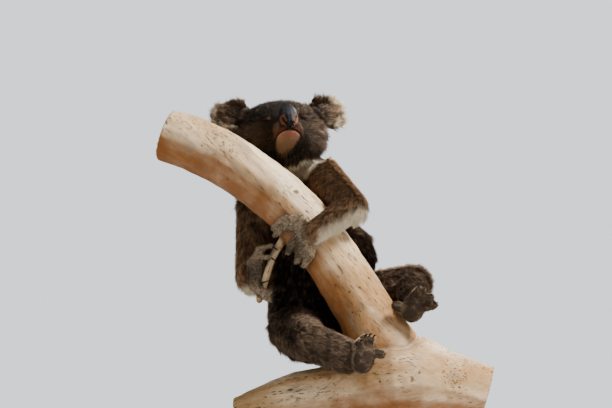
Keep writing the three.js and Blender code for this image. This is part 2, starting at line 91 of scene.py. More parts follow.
def normalsOf(points, triangles):
    a, b, c = (points[triangles[:, i]] for i in range(3))
    face = np.cross(b - a, c - a)
    total = np.zeros_like(points)
    for i in range(3):
        for axis in range(3):
            total[:, axis] += np.bincount(triangles[:, i], face[:, axis], len(points))
    return unit(total)


def partsOf(mesh):  # its points, triangles and edges
    triangles = trianglesOf(mesh)
    pairs = np.vstack([triangles[:, [0, 1]], triangles[:, [1, 2]], triangles[:, [2, 0]]])
    return pointsOf(mesh), triangles, np.unique(np.sort(pairs, axis=1), axis=0)


def averaged(values, edges, rounds, share=0.5):  # spreads values over a mesh's edges
    values = values.reshape(len(values), -1).copy()
    count = np.bincount(edges.ravel(), minlength=len(values))[:, None]
    for _ in range(rounds):
        total = np.stack([
            np.bincount(edges[:, 0], column[edges[:, 1]], len(values))
            + np.bincount(edges[:, 1], column[edges[:, 0]], len(values))
            for column in values.T
        ], axis=1)
        near = total / np.maximum(count, 1)
        values += (near - values) * share
    return values


def smoothed(points, edges, rounds, amount=1.0):  # evens out a surface and keeps its volume
    for _ in range(rounds):
        for share in (0.5, -0.52):
            moved = averaged(points, edges, 1, share)
            points = points + (moved - points) * amount
    return points


def basicMesh(name, make, **measures):  # one of bmesh's own shapes
    mesh = bpy.data.meshes.new(name)
    bm = bmesh.new()
    make(bm, **measures)
    bm.to_mesh(mesh)
    bm.free()
    return mesh


def makeMesh(name, points, triangles):
    mesh = bpy.data.meshes.new(name)
    mesh.vertices.add(len(points))
    mesh.vertices.foreach_set("co", np.ascontiguousarray(points, np.float32).ravel())
    mesh.loops.add(triangles.size)
    mesh.loops.foreach_set("vertex_index", np.ascontiguousarray(triangles, np.int32).ravel())
    mesh.polygons.add(len(triangles))
    mesh.polygons.foreach_set("loop_start", np.arange(0, triangles.size, 3, dtype=np.int32))
    mesh.update(calc_edges=True)
    mesh.shade_smooth()
    return mesh


def linked(name, data):
    thing = bpy.data.objects.new(name, data)
    bpy.context.scene.collection.objects.link(thing)
    return thing


def addPiece(name, mesh, material, slot, *replaced):
    piece = linked(name, mesh)
    mesh.materials.clear()
    mesh.materials.append(material)
    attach(piece, "root")
    if replaced:
        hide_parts(*replaced)
    return piece


def write(mesh, name, values, kind="FLOAT", key="value"):  # gives every point of a mesh a named value
    layer = mesh.attributes.new(name, kind, "POINT")
    layer.data.foreach_set(key, np.ascontiguousarray(values, np.float32).ravel())


def writeVector(mesh, name, vectors):
    write(mesh, name, vectors, "FLOAT_VECTOR", "vector")


def writeColour(mesh, name, colours):
    write(mesh, name, np.column_stack([colours, np.ones(len(colours))]), "FLOAT_COLOR", "color")


def swellNodes(names, grow):  # the nodes' meshes in one, each pushed out a little so that neighbours meet
    points, triangles, owners = [], [], []
    start = 0
    for index, name in enumerate(names):
        bm = bmesh.new()
        bm.from_mesh(nodes[name].data)
        bmesh.ops.remove_doubles(bm, verts=bm.verts, dist=1e-5)
        bmesh.ops.triangulate(bm, faces=bm.faces)
        bm.normal_update()
        bm.verts.index_update()
        points.append(np.array([v.co + v.normal * grow for v in bm.verts]))
        triangles.append(np.array([[v.index for v in f.verts] for f in bm.faces]) + start)
        owners.append(np.full(len(bm.faces), index))
        start += len(bm.verts)
        bm.free()
    return np.vstack(points), np.vstack(triangles), np.concatenate(owners)


def applied(mesh, kind, vertices=None, **settings):  # a mesh with one modifier's result
    holder = linked("holder", mesh)
    if vertices is not None:
        holder.vertex_groups.new(name="chosen").add(vertices, 1.0, "REPLACE")
        settings["vertex_group"] = "chosen"
    modifier = holder.modifiers.new("step", kind)
    for key, value in settings.items():
        setattr(modifier, key, value)
    view = bpy.context.evaluated_depsgraph_get()
    made = bpy.data.meshes.new_from_object(holder.evaluated_get(view))
    bpy.data.objects.remove(holder)
    return made


def voxelSkin(points, triangles, size):
    return applied(makeMesh("source", points, triangles), "REMESH", mode="VOXEL", voxel_size=size)


def waves(points, size, seed):  # smooth, seeded lumps from -1 to 1, about the given size
    random = np.random.default_rng(seed)
    total = np.zeros(len(points))
    for _ in range(7):
        direction = unit(random.normal(size=3)) * 2 * math.pi / (size * random.uniform(0.7, 1.6))
        bend = unit(random.normal(size=3)) * 2 * math.pi / (size * random.uniform(1.1, 2.2))
        total += np.sin(points @ direction + random.uniform(0, 6.3) + 1.5 * np.sin(points @ bend))
    return np.clip(total / 3.2, -1, 1)


class Wire:  # a node's output, which Python's operators turn into Math nodes
    def __init__(self, look, socket):
        self.look = look
        self.socket = socket

    def maths(self, operation, first, second):
        return self.look.node("ShaderNodeMath", {"operation": operation}, {0: first, 1: second})

    def __add__(self, other):
        return self.maths("ADD", self, other)

    def __radd__(self, other):
        return self.maths("ADD", other, self)

    def __sub__(self, other):
        return self.maths("SUBTRACT", self, other)

    def __rsub__(self, other):
        return self.maths("SUBTRACT", other, self)

    def __mul__(self, other):
        return self.maths("MULTIPLY", self, other)

    def __rmul__(self, other):
        return self.maths("MULTIPLY", other, self)

    def __pow__(self, other):
        return self.maths("POWER", self, other)


class Look:  # a material, and the calls that build its nodes
    def __init__(self, name, **fixed):
        self.material = bpy.data.materials.new(name)
        self.material.use_nodes = True
        self.tree = self.material.node_tree
        self.shader = self.tree.nodes["Principled BSDF"]
        for key, value in fixed.items():
            self.shader.inputs[key.replace("_", " ")].default_value = value

    def node(self, kind, settings=None, inputs=None, output=0):
        made = self.tree.nodes.new(kind)
        for key, value in (settings or {}).items():
            setattr(made, key, value)
        for key, value in (inputs or {}).items():
            if isinstance(value, Wire):
                self.tree.links.new(value.socket, made.inputs[key])
            else:
                made.inputs[key].default_value = value
        return Wire(self, made.outputs[output])

    def attribute(self, name, output="Color"):
        return self.node("ShaderNodeAttribute", {"attribute_name": name}, output=output)

    def mix(self, share, first, second):
        settings = {"data_type": "RGBA", "clamp_factor": True}
        sides = {0: share, 6: self.rgba(first), 7: self.rgba(second)}
        return self.node("ShaderNodeMix", settings, sides, output=2)

    def rgba(self, colour):
        return colour if isinstance(colour, Wire) else (*colour, 1)

    def scaled(self, vector, amounts):
        return self.node("ShaderNodeVectorMath", {"operation": "MULTIPLY"}, {0: vector, 1: amounts})

    def brighter(self, colour, amount):
        return self.node("ShaderNodeVectorMath", {"operation": "SCALE"}, {0: colour, "Scale": amount})

    def noise(self, vector, scale, detail):
        inputs = {"Vector": vector, "Scale": scale, "Detail": detail, "Roughness": 0.55}
        return self.node("ShaderNodeTexNoise", None, inputs)

    def cells(self, vector, scale):
        return self.node("ShaderNodeTexVoronoi", {"feature": "F1"}, {"Vector": vector, "Scale": scale})

    def span(self, value, low, high, to=(0.0, 1.0)):  # maps low..high on to the given pair, smoothly
        settings = {"interpolation_type": "SMOOTHSTEP"}
        inputs = {"Value": value, "From Min": low, "From Max": high, "To Min": to[0], "To Max": to[1]}
        return self.node("ShaderNodeMapRange", settings, inputs)

    def bump(self, height, distance, strength):
        inputs = {"Height": height, "Distance": distance, "Strength": strength}
        return self.node("ShaderNodeBump", None, inputs)

    def place(self):
        return self.node("ShaderNodeTexCoord", output="Object")

    def feed(self, socket, wire):
        self.tree.links.new(wire.socket, self.shader.inputs[socket])


eyeForward = -7 * mm  # where the eyes' middles lie along the head's forward axis
noseDrop = math.atan2(27.8, 45.4)  # from straight ahead down to the nose, seen from between the eyes
eyeMiddles = {side: centreOf("eye_" + side) for side in ("left", "right")}
between = (eyeMiddles["left"] + eyeMiddles["right"]) / 2
headLeft = unit(eyeMiddles["left"] - eyeMiddles["right"])
toNose = centreOf("nose") - between
toNose = unit(toNose - headLeft * (toNose @ headLeft))
headForward = toNose * math.cos(noseDrop) + np.cross(toNose, headLeft) * math.sin(noseDrop)
headUp = np.cross(headForward, headLeft)
headOrigin = between - headForward * eyeForward
headAxes = np.stack([headLeft, headForward, headUp])


def inHead(points):  # millimetres to the koala's left, forward and up from between its eyes
    return (points - headOrigin) @ headAxes.T / mm


def fromHead(local):
    return headOrigin + (np.asarray(local) * mm) @ headAxes


sides = ("left", "right")
limbs = (("upper_arm", "forearm", "hand"), ("thigh", "shank", "foot"))
fleshNodes = ["head", "neck", "trunk"] + [
    part + "_" + side
    for part in ("ear", *limbs[0], *limbs[1])
    for side in sides
]

# For each part, in mm: how deep the skin lies under the coat's tips, and its tufts' measures.
coat = {
    "head": dict(depth=8.0, length=15, width=1.15, spacing=1.35),
    "neck": dict(depth=11, length=21, width=1.45, spacing=1.8),
    "trunk": dict(depth=12, length=23, width=1.5, spacing=1.85),
    "ear": dict(depth=10, length=21, width=1.1, spacing=1.45),
    "upper_arm": dict(depth=9, length=19, width=1.3, spacing=1.45),
    "forearm": dict(depth=6.5, length=15, width=1.2, spacing=1.3),
    "hand": dict(depth=2.0, length=6.5, width=0.9, spacing=1.1),
    "thigh": dict(depth=9, length=18, width=1.3, spacing=1.5),
    "shank": dict(depth=7, length=14, width=1.2, spacing=1.4),
    "foot": dict(depth=1.7, length=6, width=0.9, spacing=1.15),
}
faceCoat = dict(depth=2.6, length=4.4, width=0.65, spacing=0.95)
skinShape = dict(
    voxel=2.1 * mm, bridge=0.45 * mm, evenRounds=16, headRounds=24, sinkSteps=6, bodyShare=0.14,
    earThin=7 * mm, detail=0.3, eyeReaches=(17, 12), blendRounds=10, keepFine=0.7, depthRounds=8,
    deepFrom=4 * mm, deepEven=0.4, fineBlend=6, fineRounds=4,
    faceMiddle=(0, 12, -32), faceRadii=(62, 60, 58), faceEdge=(0.55, 1.2),
)


def partOf(node):
    return node.rsplit("_", 1)[0] if node.endswith(sides) else node


def shareOf(weights, *parts):
    return weights[:, [partOf(node) in parts or node in parts for node in fleshNodes]].sum(axis=1)


def faceShare(local):  # 1 round the muzzle and eyes, fading to 0 at the cheeks, crown and throat
    away = np.linalg.norm((local - skinShape["faceMiddle"]) / skinShape["faceRadii"], axis=1)
    return 1 - ramp(away, *skinShape["faceEdge"])


def coatValue(key, weights, face):  # blends a coat measure over the parts' borders
    value = weights @ np.array([coat[partOf(node)][key] for node in fleshNodes])
    return mixed(value, faceCoat[key], face) * mm


def sortByPart(points, tree, owners, edges, rounds):  # how much each point belongs to each part
    weights = np.zeros((len(points), owners.max() + 1))
    for i, point in enumerate(points):
        weights[i, owners[tree.find_nearest(point)[2]]] = 1
    return averaged(weights, edges, rounds)


def refined(mesh, chosen):  # cuts the faces whose corners are all chosen in four
    bm = bmesh.new()
    bm.from_mesh(mesh)
    bm.verts.ensure_lookup_table()
    edges = {e for f in bm.faces if all(chosen[v.index] for v in f.verts) for e in f.edges}
    bmesh.ops.subdivide_edges(bm, edges=list(edges), cuts=1, use_grid_fill=True)
    bm.to_mesh(mesh)
    bm.free()


def eyeAxes(side):  # outwards, up and forwards for one eye
    out = 1 if side == "left" else -1
    turn, lift = math.radians(face["eyeTurn"]), math.radians(face["eyeLift"])
    level = headForward * math.cos(turn) + headLeft * out * math.sin(turn)
    forward = level * math.cos(lift) + headUp * math.sin(lift)
    across = unit(headLeft * out - forward * (headLeft @ forward) * out)
    up = unit(headUp - forward * (headUp @ forward) - across * (headUp @ across))
    return np.stack([across, up, forward])


# The face, in mm and degrees. Heights are from between the eyes.
face = dict(
    eyeRadius=8.5, eyeTurn=22, eyeLift=4, slitHalf=7.6, upperLid=0.8, lowerLid=1.0,
    slitTilt=dict(left=-13, right=-6), slitUp=dict(left=3.2, right=-0.4), lidThick=0.9, openDeep=1.3,
    creaseUp=4.0, creaseDeep=0.7, browRise=1.2, browUp=8.5, foldUp=12,
    mouthLift=-62.5, mouthHalf=32, mouthDrop=3.4, mouthTilt=-0.07, mouthDeep=3.6, mouthWide=1.7, chinBack=2.4,
    lipRise=0.9, lipDrop=3.2, cleftDeep=1.2, cleftWide=1.3,
    chinFrom=-64, chinTo=-92, chinHalf=(24, 5), chinMiddle=(-2, -10),
)


def inEye(points, side):  # mm outwards, up and forwards from the middle of one eye's slit
    return (points - eyeMiddles[side]) @ eyeAxes(side).T / mm - (0, face["slitUp"][side], 0)


def slitInside(local, side):  # mm inside the edge of the open slit, below zero outside it
    across, up = local[:, 0], local[:, 1]
    up = up + across * math.tan(math.radians(face["slitTilt"][side]))
    bow = 1 - np.abs(across / face["slitHalf"]) ** 2.6
    return np.where(up > 0, face["upperLid"], face["lowerLid"]) * bow - np.abs(up)


def shapeLids(points, side):
    local = inEye(points, side)
    across, up, forward = local.T
    away = np.hypot(across, up + face["slitUp"][side])
    radius = face["eyeRadius"]
    ball = np.sqrt(np.maximum(radius ** 2 - away ** 2, 0))
    lid = np.sqrt(np.maximum((radius + face["lidThick"]) ** 2 - away ** 2, 0))
    lid -= face["creaseDeep"] * np.exp(-((up - face["creaseUp"] + 0.03 * across ** 2) / 0.8) ** 2)
    opened = ramp(slitInside(local, side), -0.3, 0.3)
    wanted = mixed(lid, ball - face["openDeep"], opened)
    share = (1 - ramp(away, 0.8 * radius, 1.5 * radius)) * (forward > -radius * 1.5)
    brow = face["browRise"] * np.exp(-((up - face["browUp"]) / 3) ** 2 - (across / 12) ** 2)
    fold = np.exp(-((up - face["foldUp"] + 0.02 * across ** 2) / 1.4) ** 2 - (across / 10) ** 2)
    change = (wanted - forward) * share + (brow - fold) * (forward > -4)
    return points + np.outer(change * mm, eyeAxes(side)[2])


def mouthLine(x):
    return face["mouthLift"] - face["mouthDrop"] * np.abs(x / face["mouthHalf"]) ** 3 + face["mouthTilt"] * x


def shapeMouth(points):
    x, forward, up = inHead(points).T
    half = face["mouthHalf"]
    share = (1 - ramp(np.abs(x), half - 5, half + 3)) * ramp(forward, -15, 0)
    under = mouthLine(x) - up
    groove = face["mouthDeep"] * np.exp(-(under / face["mouthWide"]) ** 2)
    chin = face["chinBack"] * ramp(under, 0, 3) * (1 - ramp(under, 9, 18))
    lips = -face["lipRise"] * np.exp(-((under + face["lipDrop"]) / 2.2) ** 2)
    cleft = face["cleftDeep"] * np.exp(-(x / face["cleftWide"]) ** 2)
    cleft = cleft * ramp(under, -12, -8) * (1 - ramp(under, -2, 0))
    return points - np.outer((groove + chin + lips + cleft) * share * mm, headForward)


earShape = dict(out=105, back=57, up=51, hollowWide=30, hollowTall=30, hollowDeep=6, rim=(22, 40))  # mm


def earLocal(local, side):
    out = 1 if side == "left" else -1
    return (local - (out * earShape["out"], -earShape["back"], earShape["up"])) * (out, 1, 1)


def earRim(points, weights):  # 1 at the ears' rims, 0 at their roots and middles
    local = inHead(points)
    rim = np.zeros(len(points))
    for side in sides:
        x, _, z = earLocal(local, side).T
        rim = np.maximum(rim, ramp(np.hypot(x, z), *earShape["rim"]) * ramp(x, -45, -20))
    return rim * shareOf(weights, "ear")


def hollowEars(points, normals):
    local = inHead(points)
    facing = ramp(normals @ headForward, 0.1, 0.6)
    for side in sides:
        x, _, z = earLocal(local, side).T
        away = np.hypot((x + 4) / earShape["hollowWide"], z / earShape["hollowTall"])
        deep = earShape["hollowDeep"] * (1 - ramp(away, 0.3, 1.0)) * facing
        points = points - np.outer(deep * mm, headForward)
    return points


def buildSkin():
    flesh, fleshFaces, owners = swellNodes(fleshNodes, skinShape["bridge"])
    tree = treeOf(flesh, fleshFaces)
    mesh = voxelSkin(flesh, fleshFaces, skinShape["voxel"])
    points, triangles, edges = partsOf(mesh)
    weights = sortByPart(points, tree, owners, edges, skinShape["blendRounds"])
    fine = shareOf(weights, "hand", "foot")
    points = smoothed(points, edges, skinShape["evenRounds"], (1 - skinShape["keepFine"] * fine)[:, None])
    points = smoothed(points, edges, skinShape["headRounds"], shareOf(weights, "head", "ear")[:, None])
    depth = coatValue("depth", weights, faceShare(inHead(points)) * shareOf(weights, "head"))
    depth = depth + skinShape["earThin"] * earRim(points, weights)
    depth = averaged(depth, edges, skinShape["depthRounds"])
    for _ in range(skinShape["sinkSteps"]):
        points = points - normalsOf(points, triangles) * depth / skinShape["sinkSteps"]
        even = averaged(points, edges, 1, skinShape["deepEven"])
        points = mixed(points, even, depth > skinShape["deepFrom"])
    setPoints(mesh, points)
    detail = np.maximum(fine, faceShare(inHead(points)) * shareOf(weights, "head")) > skinShape["detail"]
    return sculptSkin(thinned(mesh, detail, skinShape["bodyShare"]), tree, owners)


def thinned(mesh, kept, share):  # leaves about the given share of the triangles outside the kept part
    plain = np.flatnonzero(~kept)
    ratio = 1 - (1 - share) * len(plain) / len(kept)
    return applied(mesh, "DECIMATE", plain.tolist(), ratio=ratio)


def setPoints(mesh, points):
    mesh.vertices.foreach_set("co", np.ascontiguousarray(points, np.float32).ravel())
    mesh.update()


def nearEyes(points, reach):
    return np.min([np.linalg.norm(points - eyeMiddles[side], axis=1) for side in sides], axis=0) < reach * mm


def sculptSkin(mesh, tree, owners):
    refined(mesh, faceShare(inHead(pointsOf(mesh))) > skinShape["detail"])
    for reach in skinShape["eyeReaches"]:
        refined(mesh, nearEyes(pointsOf(mesh), reach))
    bm = bmesh.new()
    bm.from_mesh(mesh)
    bmesh.ops.triangulate(bm, faces=bm.faces)
    bm.to_mesh(mesh)
    bm.free()
    points, triangles, edges = partsOf(mesh)
    weights = sortByPart(points, tree, owners, edges, skinShape["fineBlend"])
    points = smoothed(points, edges, skinShape["fineRounds"])
    points = shapePads(points, normalsOf(points, triangles), weights)
    points = hollowEars(points, normalsOf(points, triangles))
    points = shapeMouth(points)
    for side in sides:
        points = shapeLids(points, side)
    setPoints(mesh, points)
    mesh.shade_smooth()
    return dict(
        mesh=mesh, points=points, triangles=triangles, edges=edges,
        normals=normalsOf(points, triangles), weights=weights, local=inHead(points),
    )


# The soles, in mm: their middles, the ways that toes and sole face, and pads as (forward, inward, radius).
soles = dict(
    left=dict(
        middle=(149, -124, 388), toes=(0.45, 0.1, 0.89), facing=(-0.1, -0.97, -0.22), inward=(-1, 0, 0),
        pads=((-20, 28, 13), (-16, -3, 19), (7, 7, 14), (6, -13, 14), (18, -23, 11), (21, 5, 9)),
    ),
    right=dict(
        middle=(53, -168, 285), toes=(0.14, 0.42, 0.9), facing=(0.3, -0.93, -0.1), inward=(1, 0, 0),
        pads=((-8, -21, 15), (13, -26, 12), (1, 2, 17), (-26, -4, 16), (17, 20, 12), (24, -3, 10)),
    ),
    raised=1.4, sunk=0.6, lump=0.009, uneven=0.22,
)


def soleShare(side, normals, weights):  # 1 on a foot's bare sole
    return ramp(normals @ unit(np.array(soles[side]["facing"])), 0.2, 0.35) * shareOf(weights, "foot_" + side)


def padShare(points, side):  # 1 on the soles' pads, 0 in the creases between them
    sole = soles[side]
    facing = unit(np.array(sole["facing"]))
    toes = np.array(sole["toes"])
    toes = unit(toes - facing * (toes @ facing))
    inward = np.cross(toes, facing)
    inward = inward * np.sign(inward @ np.array(sole["inward"]))
    local = points / mm - sole["middle"]
    forward, across = local @ toes, local @ inward
    away = [np.hypot(forward - pad[0], across - pad[1]) / pad[2] for pad in sole["pads"]]
    return 1 - ramp(np.min(away, axis=0) + soles["uneven"] * waves(points, soles["lump"], 9), 0.55, 1.1)


def shapePads(points, normals, weights):
    for side in sides:
        share = soleShare(side, normals, weights)
        height = mixed(-soles["sunk"], soles["raised"], padShare(points, side))
        points = points + normals * (share * height * mm)[:, None]
    return points


fur = dict(  # colours as seen on a screen
    back=linear(116, 90, 70), arm=linear(176, 140, 108), leg=linear(140, 118, 99), belly=linear(46, 32, 22),
    crown=linear(64, 49, 37), cheek=linear(112, 88, 69), dark=linear(36, 26, 20), white=linear(248, 238, 216),
    cream=linear(255, 244, 220), chin=linear(172, 141, 112), chinPink=linear(176, 116, 96),
    lip=linear(116, 72, 54), muzzle=linear(132, 106, 86), jaw=linear(32, 22, 15), pad=linear(74, 59, 47),
    between=linear(122, 102, 82), paw=linear(200, 178, 152), digit=linear(62, 50, 40),
    lidPink=linear(112, 66, 50), orange=linear(138, 88, 56), tip=linear(214, 192, 164),
    ear=linear(214, 194, 164),
)


def spot(local, centre, radii, inner=0.6, outer=1.1):  # 1 in the middle of an egg-shaped place, 0 outside it
    return 1 - ramp(np.linalg.norm((local - centre) / radii, axis=1), inner, outer)


def painted(colours, *layers):  # lays each (colour, share) over the colours before it
    for colour, share in layers:
        colours = mixed(colours, colour, np.clip(share, 0, 1)[:, None])
    return colours


def bodyMarkings(skin):
    points, normals, weights = skin["points"], skin["normals"], skin["weights"]
    middle = centreOf("trunk")
    front = ramp(-normals[:, 1], 0.0, 0.6) * shareOf(weights, "trunk")
    behind = ramp(normals[:, 1], 0.2, 0.8) * shareOf(weights, "trunk")
    low = 1 - ramp(points[:, 2], middle[2] - 0.13, middle[2] - 0.02)
    digits = digitShare(skin)
    return painted(
        np.tile(fur["back"], (len(points), 1)),
        (fur["arm"], shareOf(weights, "upper_arm", "forearm")),
        (fur["leg"], shareOf(weights, "thigh", "shank")),
        (fur["paw"], shareOf(weights, "hand", "foot")),
        # painted shade: a dark brown over the trunk's front below its middle, standing for shade
        (fur["belly"], front * (1 - ramp(points[:, 2], middle[2], middle[2] + 0.16))),
        (fur["digit"], 0.85 * digits * shareOf(weights, "foot")),
        (fur["digit"], 0.6 * (1 - digits) * shareOf(weights, "hand")),
        (fur["white"], chestShare(points) * (1 - 0.5 * shareOf(weights, "head"))),
        (fur["cream"], 0.55 * behind * low * ramp(waves(points, 0.035, 5), 0.1, 0.7)),
        *[(fur["cream"], creamShare(skin, side)) for side in sides],
    )


def digitShare(skin):  # 1 on the fingers and toes, away from the palms
    share = np.zeros(len(skin["points"]))
    for part, reach in (("hand", (22, 38)), ("foot", (30, 44))):
        for side in sides:
            away = np.linalg.norm(skin["points"] - centreOf(part + "_" + side), axis=1) / mm
            share = np.maximum(share, ramp(away, *reach) * shareOf(skin["weights"], part + "_" + side))
    return share


# The white bib runs from under the jaw up to the left shoulder, in mm from between the eyes.
bib = dict(start=(-8, -40, -119), end=(72, -46, -77), wide=(18, 9), fade=7)

# The forearm's pale underside: the line that it lies below, from wrist to elbow in mm, and where it starts.
creamUnder = dict(
    left=dict(wrist=(-40, -146, 533), elbow=(33, -106, 590), below=-7, start=(-8, 6)),
    right=dict(wrist=(-170, -30, 472), elbow=(-174, 50, 479), below=12, start=(10, 30)),
    fade=11,
)


def chestShare(points):
    start, end = fromHead(bib["start"]), fromHead(bib["end"])
    way = end - start
    along = np.clip((points - start) @ way / (way @ way), 0, 1)
    away = np.linalg.norm(points - start - np.outer(along, way), axis=1) / mm
    wide = mixed(*bib["wide"], along)
    return 1 - ramp(away, wide, wide + bib["fade"])


def creamShare(skin, side):  # the pale underside of the forearm and its elbow
    line, weights = creamUnder[side], skin["weights"]
    wrist, elbow = np.array(line["wrist"]), np.array(line["elbow"])
    way = elbow - wrist
    along = (skin["points"] / mm - wrist) @ way / np.linalg.norm(way)
    middle = wrist[2] + np.clip(along / np.linalg.norm(way), 0, 1) * way[2]
    under = middle - line["below"] - skin["points"][:, 2] / mm
    arm = shareOf(weights, "forearm_" + side, "upper_arm_" + side, "hand_" + side)
    return ramp(under, 0, creamUnder["fade"]) * ramp(along, *line["start"]) * arm


# Egg-shaped marks on the head, mirrored: a colour, its share, middle and radii in mm.
headMarks = (
    ("dark", 0.65, (30, 4, -5), (16, 30, 12)),  # round the eye: painted shade in the eye socket
    ("dark", 0.5, (39, 0, 13), (13, 20, 4)),  # the fold over it: painted shadow of the brow fold
    ("muzzle", 0.8, (25, 14, -42), (7, 30, 19)),
    ("orange", 0.5, (24, 18, -55), (9, 26, 8)),
)


def headMarkings(skin, colours):
    local = skin["local"]
    head = shareOf(skin["weights"], "head")
    x, forward, up = local.T
    wide, above = np.abs(x), up - mouthLine(x)
    lip = ramp(above, 0.5, 1.5) * (1 - ramp(above, 4, 7)) * (1 - ramp(wide, 24, 33)) * ramp(forward, 0, 10)
    chin = chinShare(local) * ramp(-above, -0.5, 2.0) * head
    groove = np.exp(-(above / 1.5) ** 2) * (wide < face["mouthHalf"]) * (forward > -10)
    look = painted(
        colours,
        # the head's own brown, darkened further as painted shade over the whole head
        (fur["crown"], head),
        (fur["cheek"], head * ramp(wide, 34, 56) * (1 - ramp(up, -20, 15))),
        # painted shade: the middle of the face, round the eyes and nose, darkened
        (fur["dark"], 0.5 * spot(local, (0, 20, -10), (30, 40, 24))),
        *[
            (fur[colour], share * spot(local * (out, 1, 1), middle, radii))
            for out in (1, -1) for colour, share, middle, radii in headMarks
        ],
        (fur["jaw"], 0.85 * spot(local, (-3, -8, -82), (40, 50, 21), 0.7, 1.05)),
        (fur["lip"], lip),
        (fur["chin"], chin),
        (fur["chinPink"], chin * 0.8 * spot(local, (1, 30, -67), (21, 40, 14), 0.4, 1.1)),
        # painted shade in the mouth's groove
        (fur["dark"] * 0.35, groove),
    )
    look = lidMarkings(skin["points"], look)
    return earMarkings(local, skin["normals"], look, shareOf(skin["weights"], "ear"))


def chinShare(local):
    x, forward, up = local.T
    down = np.clip((up - face["chinFrom"]) / (face["chinTo"] - face["chinFrom"]), 0, 1)
    half = mixed(*face["chinHalf"], down ** 2.5)
    away = np.abs(x - mixed(*face["chinMiddle"], down))
    end = face["chinTo"]
    return (1 - ramp(away, half - 2, half + 2)) * ramp(up, end - 3, end + 4) * ramp(forward, -20, -8)


def lidMarkings(points, look):
    for side in sides:
        local = inEye(points, side)
        inside = slitInside(local, side)
        front = local[:, 2] > 0
        rim = np.exp(-((inside + 2.6) / 1.3) ** 2) * front
        look = painted(
            look,
            (fur["dark"] * 0.8, 0.7 * (np.exp(-((inside + 2.5) / 3.5) ** 2) * front)),
            (fur["lidPink"], rim * np.where(local[:, 1] > 0, 0.45, 0.9)),
            (fur["dark"] * 0.3, (1 - ramp(np.abs(inside + 0.3), 0.5, 1.3)) * front),
        )
    return look


def earMarkings(local, normals, look, ear):
    facing = ramp(normals @ headForward, 0.0, 0.5)
    for side in sides:
        x, _, z = earLocal(local, side).T
        near = (x > -60) * ear
        away = np.hypot(x / 40, z / 40)
        look = painted(
            look,
            # dark front of the ear by its root: partly its own dark fur, partly painted shade in the hollow
            (fur["dark"], 0.85 * near * (1 - ramp(x, -14, 10)) * facing),
            (fur["ear"], 0.75 * near * ramp(away, 0.3, 0.8) * ramp(x - 0.2 * z, -16, 12)),
        )
    return look


# How the coat lies: it runs away from the nose's tip and the ears' roots, and hangs a little everywhere.
coatLie = dict(
    noseOut=14 * mm, earRoot=(68, -50, 30), bodyDrop=0.4, allDrop=0.15, creamDrop=1.3, rounds=4, evenRounds=5,
)


def laidFlat(vectors, normals):  # what is left of the vectors in the skin's own plane
    return vectors - normals * (vectors * normals).sum(axis=1, keepdims=True)


def layCoat(skin):  # the way the hair runs, along the skin
    points, normals, weights = skin["points"], skin["normals"], skin["weights"]

    def share(*parts):
        return shareOf(weights, *parts)[:, None]

    noseTip = centreOf("nose") + headForward * coatLie["noseOut"]
    lie = unit(points - noseTip) * share("head")
    for side in sides:
        out, back, up = coatLie["earRoot"]
        root = fromHead((out if side == "left" else -out, back, up))
        lie += unit(points - root) * share("ear_" + side)
        for chain in limbs:
            centres = [centreOf(part + "_" + side) for part in chain]
            ways = [centres[1] - centres[0], centres[2] - centres[0], centres[2] - centres[1]]
            for part, way in zip(chain, ways):
                lie += unit(way) * share(part + "_" + side)
    spine = unit(centreOf("trunk") - centreOf("neck"))
    lie += (spine - np.array([0, 0, coatLie["bodyDrop"]])) * share("neck", "trunk")
    lie -= np.array([0, 0, coatLie["allDrop"]]) * (1 - share("head", "ear"))
    lie -= np.array([0, 0, coatLie["creamDrop"]]) * skin["cream"][:, None]
    for _ in range(coatLie["rounds"]):
        lie = averaged(unit(laidFlat(lie, normals)), skin["edges"], coatLie["evenRounds"])
    return unit(laidFlat(lie, normals))


def bareShare(skin):  # 1 where no tuft grows
    points, local, weights = skin["points"], skin["local"], skin["weights"]
    bare = np.zeros(len(points))
    for side in sides:
        pads = ramp(padShare(points, side), 0.15, 0.5)
        bare = np.maximum(bare, soleShare(side, skin["normals"], weights) * pads)
        eye = inEye(points, side)
        bare = np.maximum(bare, (slitInside(eye, side) > -1.6) & (eye[:, 2] > -4) & (np.abs(eye[:, 0]) < 10))
    x, forward, up = local.T
    mouth = (np.abs(mouthLine(x) - up) < 1.5) & (np.abs(x) < face["mouthHalf"]) & (forward > -10)
    return np.maximum(bare, mouth)


def soleMarkings(skin, look):
    normals, weights = skin["normals"], skin["weights"]
    for side in sides:
        sole = soleShare(side, normals, weights)
        bareSole = mixed(fur["between"], fur["pad"], padShare(skin["points"], side)[:, None])
        edge = ramp(normals @ unit(np.array(soles[side]["facing"])), -0.45, 0.0) * (1 - sole)
        edge = edge * (0.6 - 0.4 * ramp(normals[:, 2], 0.0, 0.6))
        look = painted(look, (bareSole, sole), (fur["leg"], edge * shareOf(weights, "foot_" + side)))
    return look


# Where the coat is longer or shorter than its part's, as shares or in metres; nearEye is in mm.
coatTrim = dict(
    fringe=0.6, cheeks=9 * mm, earRims=4 * mm, nearEye=(9, 20), atEye=0.4, soles=0.35, chin=0.5, chinFlat=0.4,
)


def coatLengths(skin, share):
    points, local, weights = skin["points"], skin["local"], skin["weights"]
    length = coatValue("length", weights, share) * (1 + coatTrim["fringe"] * skin["cream"])
    x, _, up = local.T
    cheeks = shareOf(weights, "head") * ramp(np.abs(x), 32, 56) * (1 - ramp(up, -10, 22))
    length = length + coatTrim["cheeks"] * cheeks + coatTrim["earRims"] * earRim(points, weights)
    for side in sides:
        away = np.linalg.norm(inEye(points, side), axis=1)
        length = length * mixed(coatTrim["atEye"], 1, ramp(away, *coatTrim["nearEye"]))
        length = length * (1 - coatTrim["soles"] * soleShare(side, skin["normals"], weights))
    return length * (1 - coatTrim["chin"] * skin["chin"])


# How much the tufts' tones differ, more on the paws and less on the face and the pale places.
coatTone = dict(paws=1.7, forearm=0.4, face=0.3, chin=0.75, cream=0.5, plain=0.5, creamLift=0.35)


